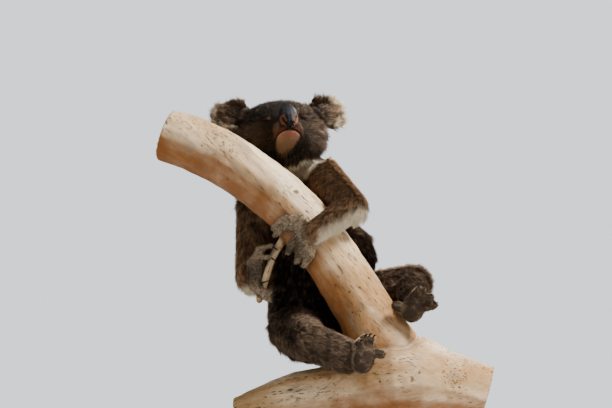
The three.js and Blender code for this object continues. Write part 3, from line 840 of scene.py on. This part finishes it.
def finishSkin(skin):
    weights = skin["weights"]
    share = faceShare(skin["local"]) * shareOf(weights, "head")
    skin["face"] = share
    skin["chin"] = chinShare(skin["local"]) * shareOf(weights, "head")
    skin["cream"] = np.maximum(*[creamShare(skin, side) for side in sides])
    skin["lie"] = layCoat(skin)
    skin["bare"] = bareShare(skin)
    skin["marking"] = headMarkings(skin, soleMarkings(skin, bodyMarkings(skin)))
    for key in ("depth", "width", "spacing"):
        skin[key] = coatValue(key, weights, share)
    skin["depth"] = skin["depth"] * (1 - coatTrim["chinFlat"] * skin["chin"])
    skin["length"] = coatLengths(skin, share)
    paws = shareOf(weights, "hand", "foot")
    cream = np.maximum(skin["cream"], chestShare(skin["points"]))
    plain = (1 - coatTone["face"] * share) * (1 - coatTone["chin"] * skin["chin"])
    plain = plain * (1 - coatTone["cream"] * cream)
    varied = 1 + coatTone["paws"] * paws + coatTone["forearm"] * shareOf(weights, "forearm")
    skin["contrast"] = varied * plain
    skin["bright"] = coatTone["plain"] + coatTone["creamLift"] * cream
    skin["short"] = np.maximum(share, paws)
    writeColour(skin["mesh"], "marking", skin["marking"])
    for key in ("bare", "short"):
        write(skin["mesh"], key, skin[key])


tufts = dict(
    tries=3, clump=8 * mm, faceClump=4.5 * mm, gather=0.36, wander=0.14, mostTriangles=196000,
    rise=(0.4, 1.0), bend=0.25, reach=0.92, rootSink=1.0 * mm, patch=0.003,
    toneEach=0.22, toneLock=0.21, toneDrift=0.12, earRings=2, tipClear=0.6 * mm, bendClear=0.5 * mm,
    noseClear=1.2 * mm, lengths=(0.72, 1.18), gathers=(0.4, 1.3), farLock=(0.5, 1.2), bendRise=0.8,
    bendSway=0.3, toneSize=0.03, sizeStep=0.12, sheet=7 * mm, seam=60, faceFrom=0.4,
)
pieceOf = dict(
    head="coat_head", neck="coat_neck", trunk="coat_trunk", ear="coat_ears", upper_arm="coat_arms",
    forearm="coat_arms", hand="coat_hands", thigh="coat_legs", shank="coat_legs", foot="coat_feet",
)


def scatter(skin):  # seeded roots over the skin, at most one in each small cube
    corners = skin["points"][skin["triangles"]]
    area = np.linalg.norm(np.cross(corners[:, 1] - corners[:, 0], corners[:, 2] - corners[:, 0]), axis=1) / 2
    spacing = skin["spacing"][skin["triangles"]].mean(axis=1)
    count = np.floor(area / spacing ** 2 * tufts["tries"] + rng.random(len(area))).astype(int)
    faces = np.repeat(np.arange(len(area)), count)
    weights = rng.random((len(faces), 2))
    weights = np.where(weights.sum(axis=1, keepdims=True) > 1, 1 - weights, weights)
    weights = np.column_stack([1 - weights.sum(axis=1), weights])
    places = (corners[faces] * weights[:, :, None]).sum(axis=1)
    step = np.round(np.log(spacing[faces] / mm) / tufts["sizeStep"])
    size = np.exp(step * tufts["sizeStep"]) * mm
    cell = np.floor((places + 1.0) / size[:, None]).astype(np.int64)
    key = ((step.astype(np.int64) * 4096 + cell[:, 0]) * 4096 + cell[:, 1]) * 4096 + cell[:, 2]
    kept = np.unique(key, return_index=True)[1]
    return faces[kept], weights[kept]


def gatherTips(roots, tips, size):  # draws the tips together into locks
    cell = np.floor((roots + 1.0) / size[:, None]).astype(np.int64)
    key = (cell[:, 0] * 4096 + cell[:, 1]) * 4096 + cell[:, 2]
    heads = np.unique(key, return_index=True)[1]
    tree = KDTree(len(heads))
    for i, head in enumerate(heads):
        tree.insert(roots[head], i)
    tree.balance()
    nearest = np.array([tree.find(root)[1] for root in roots])
    return tips[heads[nearest]], nearest


def pushOut(places, tree, clear):  # moves what is inside a solid out to its surface
    moved = places.copy()
    for i, place in enumerate(places):
        hit, normal = tree.find_nearest(place, 0.06)[:2]
        if hit is not None and (Vector(place) - hit).dot(normal) < clear:
            moved[i] = hit + normal * clear
    return moved


def growTufts(skin, solids):
    faces, weights = scatter(skin)
    corners = skin["triangles"][faces]

    def at(key):
        values = skin[key][corners]
        return (values * weights.reshape(weights.shape + (1,) * (values.ndim - 2))).sum(axis=1)

    keep = (at("bare") < 0.5) & ~nearNose(at("points"), solids["nose"])
    faces, weights, corners = faces[keep], weights[keep], corners[keep]
    count = len(faces)
    root, normal, lie = at("points"), unit(at("normals")), unit(at("lie"))
    depth = at("depth")[:, None]
    length = (at("length") * rng.uniform(*tufts["lengths"], count))[:, None]
    side = np.cross(normal, lie)
    rise = rng.uniform(*tufts["rise"], count)[:, None]
    sway = rng.normal(0, tufts["wander"], count)[:, None]
    tip = root + normal * depth * rise + lie * length * tufts["reach"] + side * length * sway
    clump = mixed(tufts["clump"], tufts["faceClump"], at("short"))
    drawn, lock = gatherTips(root, tip, clump)
    gather = tufts["gather"] * rng.uniform(*tufts["gathers"], count)[:, None]
    away = np.linalg.norm(drawn - tip, axis=1, keepdims=True)
    near, far = (share * length for share in tufts["farLock"])
    tip = tip + (drawn - tip) * gather * (1 - ramp(away, near, far))
    bend = root + normal * depth * tufts["bendRise"] + lie * length * tufts["bend"]
    bend = bend + side * length * sway * tufts["bendSway"]
    tip = pushOut(tip, solids["perch"], tufts["tipClear"])
    bend = pushOut(bend, solids["perch"], tufts["bendClear"])
    lockTone = rng.normal(0, 1, lock.max() + 1)[lock]
    tone = tufts["toneEach"] * rng.normal(0, 1, count) + tufts["toneLock"] * lockTone
    tone = at("bright") + (tone + tufts["toneDrift"] * waves(root, tufts["toneSize"], 3)) * at("contrast")
    part = shareFirst(at("weights"))
    return dict(
        root=root - normal * tufts["rootSink"], bend=bend, tip=tip, normal=normal, width=at("width"),
        marking=at("marking"), tone=np.clip(tone, 0, 1), part=part, face=at("face"),
    )


def shareFirst(weights):  # the name of the part that each tuft belongs to most
    names = np.array([partOf(node) for node in fleshNodes])
    return names[weights.argmax(axis=1)]


def nearNose(places, tree):
    near = np.zeros(len(places), bool)
    close = np.linalg.norm(places - centreOf("nose"), axis=1) < 0.06
    for i in np.flatnonzero(close):
        hit, normal = tree.find_nearest(Vector(places[i]))[:2]
        near[i] = (Vector(places[i]) - hit).dot(normal) < tufts["noseClear"]
    return near


def unwrapSkin(skin):  # a small copy of the skin, laid flat, where the coat's map finds each root's place
    mesh = voxelSkin(skin["points"], skin["triangles"], tufts["sheet"])
    sheet = linked("unwrap", mesh)
    bpy.context.view_layer.objects.active = sheet
    sheet.select_set(True)
    bpy.ops.object.mode_set(mode="EDIT")
    bpy.ops.mesh.select_all(action="SELECT")
    bpy.ops.uv.smart_project(angle_limit=math.radians(tufts["seam"]), island_margin=0.004)
    bpy.ops.object.mode_set(mode="OBJECT")
    mesh.calc_loop_triangles()
    loops = np.array([t.loops[:] for t in mesh.loop_triangles])
    flat = np.empty(len(mesh.loops) * 2, np.float32)
    mesh.uv_layers.active.data.foreach_get("uv", flat)
    points, triangles = pointsOf(mesh), trianglesOf(mesh)
    bpy.data.objects.remove(sheet)
    return points[triangles], flat.reshape(-1, 2)[loops], treeOf(points, triangles)


def placesOnMap(roots, sheet):
    corners, flat, tree = sheet
    found = [tree.find_nearest(root) for root in roots]
    faces = np.array([hit[2] for hit in found])
    places = np.array([hit[0] for hit in found])
    a, b, c = corners[faces, 0], corners[faces, 1], corners[faces, 2]
    total = np.linalg.norm(np.cross(b - a, c - a), axis=1)
    first = np.linalg.norm(np.cross(b - places, c - places), axis=1) / total
    second = np.linalg.norm(np.cross(c - places, a - places), axis=1) / total
    share = np.column_stack([first, second, np.maximum(1 - first - second, 0)])
    return (flat[faces] * share[:, :, None]).sum(axis=1)


def tuftPiece(name, tuft, chosen, rings, sheet, material):
    steps = np.linspace(0, 1, rings + 1)[:, None, None]
    root, bend, tip = (tuft[key][chosen] for key in ("root", "bend", "tip"))
    line = (1 - steps) ** 2 * root + 2 * steps * (1 - steps) * bend + steps ** 2 * tip
    way = unit(tip - root)
    side = unit(np.cross(tuft["normal"][chosen], way))
    ridge = np.cross(way, side)
    width = tuft["width"][chosen][:, None]
    rows = []
    for ring in range(rings):
        wide = width * (1 - 0.1 * ring)
        rows += [line[ring] - side * wide / 2, line[ring] + side * wide / 2, line[ring] + ridge * wide * 0.5]
    rows.append(line[rings])
    points = np.stack(rows, axis=1)
    faces = [(0, 2, 1)]
    for ring in range(rings - 1):
        for i in range(3):
            a, b = ring * 3 + i, ring * 3 + (i + 1) % 3
            faces += [(a, b, b + 3), (a, b + 3, a + 3)]
    last = 3 * rings - 3
    faces += [(last + i, last + (i + 1) % 3, last + 3) for i in range(3)]
    count, each = points.shape[:2]
    triangles = (np.array(faces)[None] + np.arange(count)[:, None, None] * each).reshape(-1, 3)
    mesh = makeMesh(name, points.reshape(-1, 3), triangles)
    along = np.append(np.repeat(np.arange(rings) / rings, 3), 1.0)
    across = np.append(np.tile([-0.5, 0.5, 0], rings), 0)
    writeColour(mesh, "marking", np.repeat(tuft["marking"][chosen], each, axis=0))
    write(mesh, "tone", np.repeat(tuft["tone"][chosen], each))
    write(mesh, "along", np.tile(along, count))
    spread = np.column_stack([across, along - 0.5]) * tufts["patch"]
    places = (placesOnMap(tuft["root"][chosen], sheet)[:, None] + spread).reshape(-1, 2)
    layer = mesh.uv_layers.new(name="OFBake")
    layer.data.foreach_set("uv", places[triangles.ravel()].astype(np.float32).ravel())
    addPiece(name, mesh, material, "brown_fur")
    return len(triangles)


def buildCoat(skin, solids):
    material = furFinish()
    tuft = growTufts(skin, solids)
    sheet = unwrapSkin(skin)
    piece = np.array([pieceOf[part] for part in tuft["part"]])
    piece[(piece == "coat_head") & (tuft["face"] > tufts["faceFrom"])] = "coat_face"
    total = 0
    for name in np.unique(piece):
        rings = tufts["earRings"] if name == "coat_ears" else 1
        most = tufts["mostTriangles"] // (6 * rings - 2)
        members = np.flatnonzero(piece == name)
        members = members[np.argsort(tuft["root"][members, 2])]
        for i, chosen in enumerate(np.array_split(members, -(-len(members) // most))):
            total += tuftPiece(f"{name}_{i + 1}", tuft, chosen, rings, sheet, material)
        print("  " + name + ":", len(members), "tufts")
    print("coat:", len(piece), "tufts,", total, "triangles")


def furFinish():
    look = Look("koala_fur", Roughness=0.85, Specular_IOR_Level=0.15, Sheen_Weight=0.05, Sheen_Roughness=0.5)
    marking = look.attribute("marking")
    along, tone = (look.attribute(key, "Fac") for key in ("along", "tone"))
    grizzle = look.noise(look.place(), 260, 2)
    bright = (0.35 + 0.75 * along) * (0.4 + 1.15 * tone) * (0.75 + 0.5 * grizzle)
    tips = look.span(tone, 0.5, 1.0) * look.span(along, 0.3, 1.0) * 0.45
    look.feed("Base Color", look.mix(tips, look.brighter(marking, bright), fur["tip"]))
    return look.material


def skinFinish():
    look = Look("koala_skin", Roughness=0.8, Specular_IOR_Level=0.3)
    place = look.place()
    marking = look.attribute("marking")
    bare, short = (look.attribute(key, "Fac") for key in ("bare", "short"))
    fine, coarse = look.noise(place, 900, 3), look.noise(place, 160, 3)
    nap = look.span(short, 0.2, 0.8, (0.42, 0.9))
    bright = nap * (0.55 + 0.6 * fine + 0.3 * coarse)
    look.feed("Base Color", look.brighter(marking, bright))
    pebbles = look.cells(place, 520)
    height = look.node("ShaderNodeMix", {"data_type": "FLOAT"}, {0: bare, 2: fine, 3: pebbles})
    look.feed("Normal", look.bump(height, 0.8 * mm, 0.7))
    return look.material


# The nose's leather, in mm from between the eyes.
nose = dict(
    voxel=1.0 * mm, nostrilTop=-37, nostrilLow=-54, nostrilOut=15, nostrilIn=9, nostrilDeep=5.5,
    nostrilWide=1.9, rim=0.9, rimAway=3.4, rimWide=1.4, cleftDeep=1.0, cleftWide=1.2, wider=1.11,
    evenRounds=30,
    top=linear(18, 17, 18), sheen=linear(42, 43, 47), low=linear(16, 13, 12), pink=linear(122, 76, 54),
    brown=linear(84, 52, 38),
)


def nostrilAway(local):  # mm from the comma-shaped nostrils
    x, _, up = local.T
    away = np.full(len(x), 99.0)
    for t in np.linspace(0, 1, 15):
        across = mixed(nose["nostrilOut"], nose["nostrilIn"], t ** 2)
        high = mixed(nose["nostrilTop"], nose["nostrilLow"], t)
        away = np.minimum(away, np.hypot(np.abs(x) - across, up - high))
    return away


def buildNose():
    points, triangles, _ = swellNodes(["nose"], 0)
    mesh = voxelSkin(points, triangles, nose["voxel"])
    points, triangles, edges = partsOf(mesh)
    points = fromHead(inHead(smoothed(points, edges, nose["evenRounds"])) * (nose["wider"], 1, 1))
    tree = treeOf(points, triangles)
    normals = normalsOf(points, triangles)
    local = inHead(points)
    x, forward, up = local.T
    away = nostrilAway(local)
    front = ramp(forward, 14, 24)
    deep = nose["nostrilDeep"] * np.exp(-(away / nose["nostrilWide"]) ** 2) * front
    rim = nose["rim"] * np.exp(-((away - nose["rimAway"]) / nose["rimWide"]) ** 2) * front
    cleft = nose["cleftDeep"] * np.exp(-(x / nose["cleftWide"]) ** 2) * (1 - ramp(up, -54, -46))
    points = points + normals * (rim - deep - cleft)[:, None] * mm
    points = averaged(points, edges, 1, 0.3)
    setPoints(mesh, points)
    mesh.shade_smooth()
    around = np.exp(-((away - 2.6) / 2.2) ** 2) * front * ramp(np.abs(x) - 6 + (up + 54) * 0.2, 0, 4)
    colours = painted(
        # the leather's dark grey, made paler and bluer over the front as a painted reflection
        np.tile(nose["sheen"], (len(points), 1)),
        (nose["top"], ramp(up, -12, -2)),
        (nose["top"], 0.8 * ramp(np.abs(x), 10, 16)),
        (nose["low"], 1 - ramp(up, -40, -27)),
        (nose["brown"], 0.6 * spot(local, (-1, 46, -31), (4, 20, 6), 0.3, 1.1)),
        (nose["pink"], around),
        # painted shade: very dark inside the nostrils
        (nose["low"] * 0.3, np.exp(-(away / 1.5) ** 2) * front),
    )
    writeColour(mesh, "marking", colours)
    addPiece("koala_nose", mesh, noseFinish(), "nose", "nose")
    print("nose:", len(triangles), "triangles")
    return tree


def noseFinish():
    look = Look("nose_leather", Roughness=0.5, Specular_IOR_Level=0.28)
    place, marking = look.place(), look.attribute("marking")
    mottle = look.noise(place, 220, 4)
    look.feed("Base Color", look.brighter(marking, 0.6 + 0.8 * mottle))
    pebbles = look.cells(place, 900)
    look.feed("Normal", look.bump(pebbles + mottle * 0.5, 0.35 * mm, 0.6))
    look.feed("Roughness", look.span(mottle, 0.3, 0.7, (0.44, 0.6)))
    return look.material


eyeColours = dict(
    white=linear(40, 28, 22), iris=linear(58, 36, 20), rim=linear(18, 11, 8), pupil=linear(5, 4, 4),
    irisWide=0.62, pupilTall=0.34, pupilWide=0.1,
)


def buildEye(side):
    radius = face["eyeRadius"] * mm
    mesh = basicMesh("eye_" + side, bmesh.ops.create_icosphere, subdivisions=4, radius=radius)
    gaze = pointsOf(mesh) / radius
    setPoints(mesh, pointsOf(mesh) @ eyeAxes(side) + eyeMiddles[side])
    if side == "right":
        mesh.flip_normals()
    mesh.shade_smooth()
    writeVector(mesh, "gaze", gaze)
    addPiece("koala_eye_" + side, mesh, eyeFinish(side), "eye", "eye_" + side)


def eyeFinish(side):
    look = Look("eye_" + side, Roughness=0.08, Coat_Weight=1.0, Coat_Roughness=0.03, IOR=1.38)
    gaze = look.attribute("gaze", "Vector")
    across, up = (look.node("ShaderNodeSeparateXYZ", None, {0: gaze}, axis) for axis in range(2))
    ring = (across * across + up * up) ** 0.5
    streaks = look.noise(look.scaled(gaze, (1, 1, 0)), 26, 3)
    iris = look.mix(look.span(streaks, 0.35, 0.65), eyeColours["iris"] * 0.6, eyeColours["iris"] * 1.3)
    wide = eyeColours["irisWide"]
    colour = look.mix(look.span(ring, wide - 0.1, wide), iris, eyeColours["rim"])
    colour = look.mix(look.span(ring, wide, wide + 0.08), colour, eyeColours["white"])
    slit = ((across * (1 / eyeColours["pupilWide"])) ** 2 + (up * (1 / eyeColours["pupilTall"])) ** 2) ** 0.5
    colour = look.mix(look.span(slit, 1.15, 0.9), colour, eyeColours["pupil"])
    look.feed("Base Color", colour)
    return look.material


clawShape = dict(rounds=2, tip=linear(34, 28, 25), root=linear(78, 66, 56))


def buildClaws():
    parts, along = [], []
    claws = sorted(name for name in nodes if name.startswith("claw_"))
    material = clawFinish()
    start = 0
    for name in claws:
        points, triangles, _ = swellNodes([name], 0)
        mesh = applied(makeMesh("claw", points, triangles), "SUBSURF", levels=clawShape["rounds"])
        points, triangles = pointsOf(mesh), trianglesOf(mesh)
        paw = centreOf("_".join((name.split("_")[1], name.split("_")[2])))
        away = np.linalg.norm(points - paw, axis=1)
        along.append((away - away.min()) / np.ptp(away))
        parts.append((points, triangles + start))
        start += len(points)
    mesh = makeMesh("koala_claws", np.vstack([p for p, _ in parts]), np.vstack([t for _, t in parts]))
    write(mesh, "along", np.concatenate(along))
    addPiece("koala_claws", mesh, material, "claw", *claws)
    print("claws:", len(claws))


def clawFinish():
    look = Look("claw_horn", Roughness=0.35, Specular_IOR_Level=0.5)
    along, place = look.attribute("along", "Fac"), look.place()
    streak = look.noise(place, 420, 3)
    colour = look.mix(look.span(along + (streak - 0.5) * 0.5, 0.1, 0.6), clawShape["root"], clawShape["tip"])
    look.feed("Base Color", colour)
    look.feed("Roughness", look.span(streak, 0.3, 0.7, (0.28, 0.5)))
    look.feed("Normal", look.bump(streak, 0.2 * mm, 0.5))
    return look.material


perchNodes = ["perch_branch", "perch_limb", "perch_twig"]
perch = dict(
    voxel=3.5 * mm, rounds=9, swell=1.3 * mm, ripple=0.5 * mm, pits=70, pitWide=(1.5, 3.2), pitDeep=1.5,
    knots=5, knotWide=9, knotHigh=2.2, sink=0.8 * mm, blendRounds=20, bridge=0.45 * mm,
    swellSize=0.11, rippleSize=0.03, cutFrom=(0.72, 0.86), grainLong=0.8,
    cream=linear(236, 212, 178), tan=linear(186, 147, 102), orange=linear(142, 86, 40),
    grey=linear(150, 132, 110), dark=linear(60, 40, 26), heart=linear(196, 150, 104),
    ring=linear(140, 94, 58),
)


def longAxis(node):
    points = pointsOf(nodes[node].data)
    points = points - points.mean(axis=0)
    return np.linalg.svd(points, full_matrices=False)[2][0]


def buildPerch():
    wood, woodFaces, owners = swellNodes(perchNodes, perch["bridge"])
    tree = treeOf(wood, woodFaces)
    mesh = voxelSkin(wood, woodFaces, perch["voxel"])
    points, triangles, edges = partsOf(mesh)
    points = smoothed(points, edges, perch["rounds"])
    weights = sortByPart(points, tree, owners, edges, perch["blendRounds"])
    axes = np.array([longAxis(node) for node in perchNodes])
    axis = unit(weights @ (axes * np.sign(axes[:, 0])[:, None]))
    normals = normalsOf(points, triangles)
    cut = ramp(np.abs((normals * axis).sum(axis=1)), *perch["cutFrom"])
    lumps = perch["swell"] * waves(points, perch["swellSize"], 21)
    lumps = lumps + perch["ripple"] * waves(points, perch["rippleSize"], 22)
    pits, knots = barkMarks(points, cut)
    height = lumps * (1 - cut) - pits * perch["pitDeep"] * mm + knots * perch["knotHigh"] * mm - perch["sink"]
    points = points + normals * height[:, None]
    setPoints(mesh, points)
    mesh.shade_smooth()
    # painted shade: the branch's underside and left side, and the wood near the fork, are marked for a darker
    # orange-brown
    shade = ramp(-normals[:, 2] - 0.25 * normals[:, 0], -0.35, 0.75)
    fork = centreOf("perch_limb") + np.array([0.02, 0, 0.08])
    shade = np.maximum(shade, 0.55 - 0.55 * ramp(np.linalg.norm(points - fork, axis=1), 0.05, 0.2))
    write(mesh, "shade", shade)
    write(mesh, "ring", ringDistance(points, weights, axis, cut))
    write(mesh, "cut", cut)
    write(mesh, "pit", np.maximum(pits, knots * 0.8))
    grain = points - axis * (points * axis).sum(axis=1, keepdims=True) * perch["grainLong"]
    writeVector(mesh, "grain", grain)
    addPiece("koala_perch", mesh, barkFinish(), "bark", *perchNodes)
    print("perch:", len(triangles), "triangles")
    return treeOf(points, triangles)


def ringDistance(points, weights, axis, cut):  # from each point of a cut end to the middle of that end
    node = weights.argmax(axis=1)
    distance = np.zeros(len(points))
    for i in range(len(perchNodes)):
        along = ((points - centreOf(perchNodes[i])) * axis).sum(axis=1)
        for end in (along > 0, along <= 0):
            chosen = (node == i) & end
            face = chosen & (cut > 0.9)
            if face.any():
                distance[chosen] = np.linalg.norm(points[chosen] - points[face].mean(axis=0), axis=1)
    return distance


def barkMarks(points, cut):  # small pits and a few knots, each near a point chosen at random
    random = np.random.default_rng(4)
    found = []
    for count, wide in ((perch["pits"], perch["pitWide"]), (perch["knots"], (perch["knotWide"],) * 2)):
        centres = random.choice(np.flatnonzero(cut < 0.1), count)
        sizes = random.uniform(*wide, count) * mm
        mark = np.zeros(len(points))
        for centre, size in zip(centres, sizes):
            away = points - points[centre]
            near = np.linalg.norm(away, axis=1) < 3 * size
            mark[near] = np.maximum(mark[near], np.exp(-(np.linalg.norm(away[near], axis=1) / size) ** 2))
        found.append(mark)
    return found


def barkFinish():
    look = Look("gum_bark", Roughness=0.75, Specular_IOR_Level=0.3)
    grain, place = look.attribute("grain", "Vector"), look.place()
    shade, cut, pit = (look.attribute(key, "Fac") for key in ("shade", "cut", "pit"))
    broad, patch = look.noise(grain, 14, 4), look.noise(place, 22, 4)
    fine, speck = look.noise(grain, 240, 4), look.noise(look.scaled(grain, (1, 1.3, 0.8)), 330, 2)
    colour = look.mix(look.span(broad, 0.35, 0.65), perch["cream"], perch["tan"])
    # orange-brown: partly the bark's own patches, partly painted shade where the shade mark is high
    colour = look.mix(look.span(patch * 0.6 + shade * 0.55, 0.3, 0.95) * 0.9, colour, perch["orange"])
    weathered = look.span(look.noise(grain, 31, 4), 0.56, 0.7) * (0.75 - 0.4 * shade)
    colour = look.mix(weathered, colour, perch["grey"])
    colour = look.brighter(colour, 0.72 + 0.56 * fine)
    strewn = look.span(look.noise(place, 16, 2), 0.38, 0.56) * (1.0 - 0.8 * shade)
    dashes = look.span(speck, 0.58, 0.64) * strewn
    colour = look.mix(dashes * 0.85, colour, perch["dark"])
    colour = look.mix(look.span(pit, 0.3, 0.8) * 0.85, colour, perch["dark"])
    ring = look.attribute("ring", "Fac") + 0.006 * look.noise(place, 25, 3)
    rings = look.noise(look.node("ShaderNodeCombineXYZ", None, {0: ring}), 320, 2)
    wood = look.mix(look.span(rings, 0.4, 0.62) * 0.7, perch["heart"], perch["ring"])
    wood = look.brighter(wood, 0.8 + 0.4 * look.noise(place, 400, 3))
    look.feed("Base Color", look.mix(cut, colour, wood))
    look.feed("Roughness", look.span(fine, 0.3, 0.7, (0.6, 0.88)))
    height = fine * 0.6 + broad * 0.6 - dashes * 0.5
    look.feed("Normal", look.bump(height, 1.0 * mm, 0.6))
    return look.material


stand = dict(
    segments=128, edge=4 * mm, step=3 * mm, stepIn=14 * mm, collar=24 * mm, collarTall=10 * mm,
    rodSegments=64, bevel=2 * mm, bevelSteps=6, sharp=35,
    wood=linear(72, 48, 34), woodDark=linear(38, 24, 17), steel=linear(188, 190, 194),
)


def turned(name, outline, centre, segments):  # a closed turning from (radius, height) points
    angles = np.linspace(0, 2 * math.pi, segments, endpoint=False)
    rings = [
        np.column_stack([r * np.cos(angles), r * np.sin(angles), np.full(segments, z)]) for r, z in outline
    ]
    points = np.vstack(rings + [[(0, 0, outline[0][1])], [(0, 0, outline[-1][1])]]) + (*centre[:2], 0)
    low, high = len(points) - 2, len(points) - 1
    faces = []
    around = np.arange(segments)
    after = (around + 1) % segments
    for k in range(len(outline) - 1):
        a, b = k * segments, (k + 1) * segments
        faces += [np.column_stack([a + around, a + after, b + after])]
        faces += [np.column_stack([a + around, b + after, b + around])]
    top = (len(outline) - 1) * segments
    faces += [np.column_stack([after, around, np.full(segments, low)])]
    faces += [np.column_stack([top + around, top + after, np.full(segments, high)])]
    mesh = makeMesh(name, points, np.vstack(faces))
    mesh.set_sharp_from_angle(angle=math.radians(stand["sharp"]))
    return mesh


def rounded(radius, low, high, edge):  # the outline of a disc with rounded rims
    turns = np.linspace(0, math.pi / 2, stand["bevelSteps"])
    lower = [(radius - edge + edge * math.sin(a), low + edge - edge * math.cos(a)) for a in turns]
    upper = [(radius - edge + edge * math.cos(a), high - edge + edge * math.sin(a)) for a in turns]
    return lower + upper


def buildStand():
    low, high = (np.array(corner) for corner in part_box("stand_base"))
    radius, centre = (high[0] - low[0]) / 2, (low + high) / 2
    outline = rounded(radius, low[2], high[2] - stand["step"], stand["edge"])
    upper = rounded(radius - stand["stepIn"], high[2] - stand["step"], high[2], stand["bevel"])
    outline += upper[-stand["bevelSteps"]:]
    base = turned("stand_foot", outline, centre, stand["segments"])
    addPiece("stand_foot", base, woodFinish(), "stand_base", "stand_base")
    steel = steelFinish()
    for side in sides:
        node = "stand_rod_" + side
        low, high = (np.array(corner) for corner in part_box(node))
        centre = (low + high) / 2
        rod = nodes[node].data
        places = pointsOf(rod)
        thin = np.hypot(*(places - centre)[places[:, 2] > low[2] + 2 * stand["collarTall"]][:, :2].T).max()
        outline = rounded(stand["collar"], low[2], low[2] + stand["collarTall"], stand["bevel"])
        top = low[2] + stand["collarTall"]
        outline += [(thin + stand["bevel"], top), (thin, top + stand["bevel"]), (thin, high[2])]
        piece = turned("stand_post_" + side, outline, centre, stand["rodSegments"])
        addPiece("stand_post_" + side, piece, steel, "stand_rod", node)
    print("stand: base and rods")


def woodFinish():
    look = Look("stained_wood", Roughness=0.35, Coat_Weight=0.3, Coat_Roughness=0.2)
    grain = look.scaled(look.place(), (0.12, 1, 1))
    broad, fine = look.noise(grain, 40, 4), look.noise(grain, 420, 3)
    colour = look.mix(look.span(broad + fine * 0.4, 0.5, 0.9), stand["woodDark"], stand["wood"])
    look.feed("Base Color", colour)
    look.feed("Roughness", look.span(fine, 0.3, 0.7, (0.3, 0.5)))
    look.feed("Normal", look.bump(fine, 0.2 * mm, 0.4))
    return look.material


def steelFinish():
    look = Look("brushed_steel", Metallic=1.0)
    lines = look.noise(look.scaled(look.place(), (1, 1, 0.03)), 900, 2)
    colour = look.mix(lines, stand["steel"] * 0.9, stand["steel"])
    look.feed("Base Color", look.brighter(colour, 0.9 + 0.15 * lines))
    look.feed("Roughness", look.span(lines, 0.3, 0.7, (0.22, 0.4)))
    look.feed("Normal", look.bump(lines, 0.05 * mm, 0.3))
    return look.material


studio = dict(
    floor=linear(214, 212, 208), wall=(0.80, 0.83, 0.86), wallPower=1.15, skyPower=0.42,
    lamps=dict(  # place, size and power of each
        key=((1.4, -0.8, 2.3), 0.8, 95), fill=((-1.8, -2.2, 0.9), 1.6, 9), back=((0.9, 1.9, 2.0), 0.9, 30),
    ),
    aim=(0, 0, 0.5), floorSize=5,
)


def buildFloor():
    mesh = basicMesh("floor", bmesh.ops.create_grid, x_segments=1, y_segments=1, size=studio["floorSize"])
    look = Look("studio_floor", Roughness=0.7)
    cloud = look.noise(look.place(), 1.5, 2)
    look.feed("Base Color", look.mix(cloud, studio["floor"] * 0.94, studio["floor"]))
    mesh.materials.append(look.material)
    floor = linked("floor", mesh)


def addLight(name, place, size, power):
    lamp = bpy.data.lights.new(name, "AREA")
    lamp.shape = "DISK"
    lamp.size = size
    lamp.energy = power
    holder = linked(name, lamp)
    holder.location = place
    holder.rotation_euler = (Vector(studio["aim"]) - Vector(place)).to_track_quat("-Z", "Y").to_euler()


def lightStudio():
    world = bpy.data.worlds.new("studio")
    world.use_nodes = True
    tree = world.node_tree
    light = tree.nodes["Background"]
    wall = tree.nodes.new("ShaderNodeBackground")
    for shade, power in ((light, studio["skyPower"]), (wall, studio["wallPower"])):
        shade.inputs["Color"].default_value = (*studio["wall"], 1)
        shade.inputs["Strength"].default_value = power
    seen = tree.nodes.new("ShaderNodeLightPath")
    joined = tree.nodes.new("ShaderNodeMixShader")
    tree.links.new(seen.outputs["Is Camera Ray"], joined.inputs[0])
    tree.links.new(light.outputs[0], joined.inputs[1])
    tree.links.new(wall.outputs[0], joined.inputs[2])
    tree.links.new(joined.outputs[0], tree.nodes["World Output"].inputs["Surface"])
    bpy.context.scene.world = world
    bpy.context.scene.view_settings.look = "AgX - Medium High Contrast"
    for name, (place, size, power) in studio["lamps"].items():
        addLight(name, place, size, power)


# The camera looks up from low down, as someone under the tree would.
camera = dict(place=(-0.05945, -2.26, 0.06), lift=14, lens=65.06)


def addCamera():
    lens = bpy.data.cameras.new("camera")
    lens.lens = camera["lens"]
    lens.sensor_width = 36
    lens.clip_end = 50
    holder = linked("camera", lens)
    holder.location = camera["place"]
    holder.rotation_euler = (math.radians(90 + camera["lift"]), 0, 0)
    bpy.context.scene.camera = holder


addCamera()
lightStudio()
buildFloor()
buildStand()
perchTree = buildPerch()
noseTree = buildNose()
for side in sides:
    buildEye(side)
buildClaws()
koala = buildSkin()
finishSkin(koala)
addPiece("koala_skin", koala["mesh"], skinFinish(), "brown_fur", *fleshNodes)
print("skin:", len(koala["triangles"]), "triangles")
buildCoat(koala, dict(perch=perchTree, nose=noseTree))
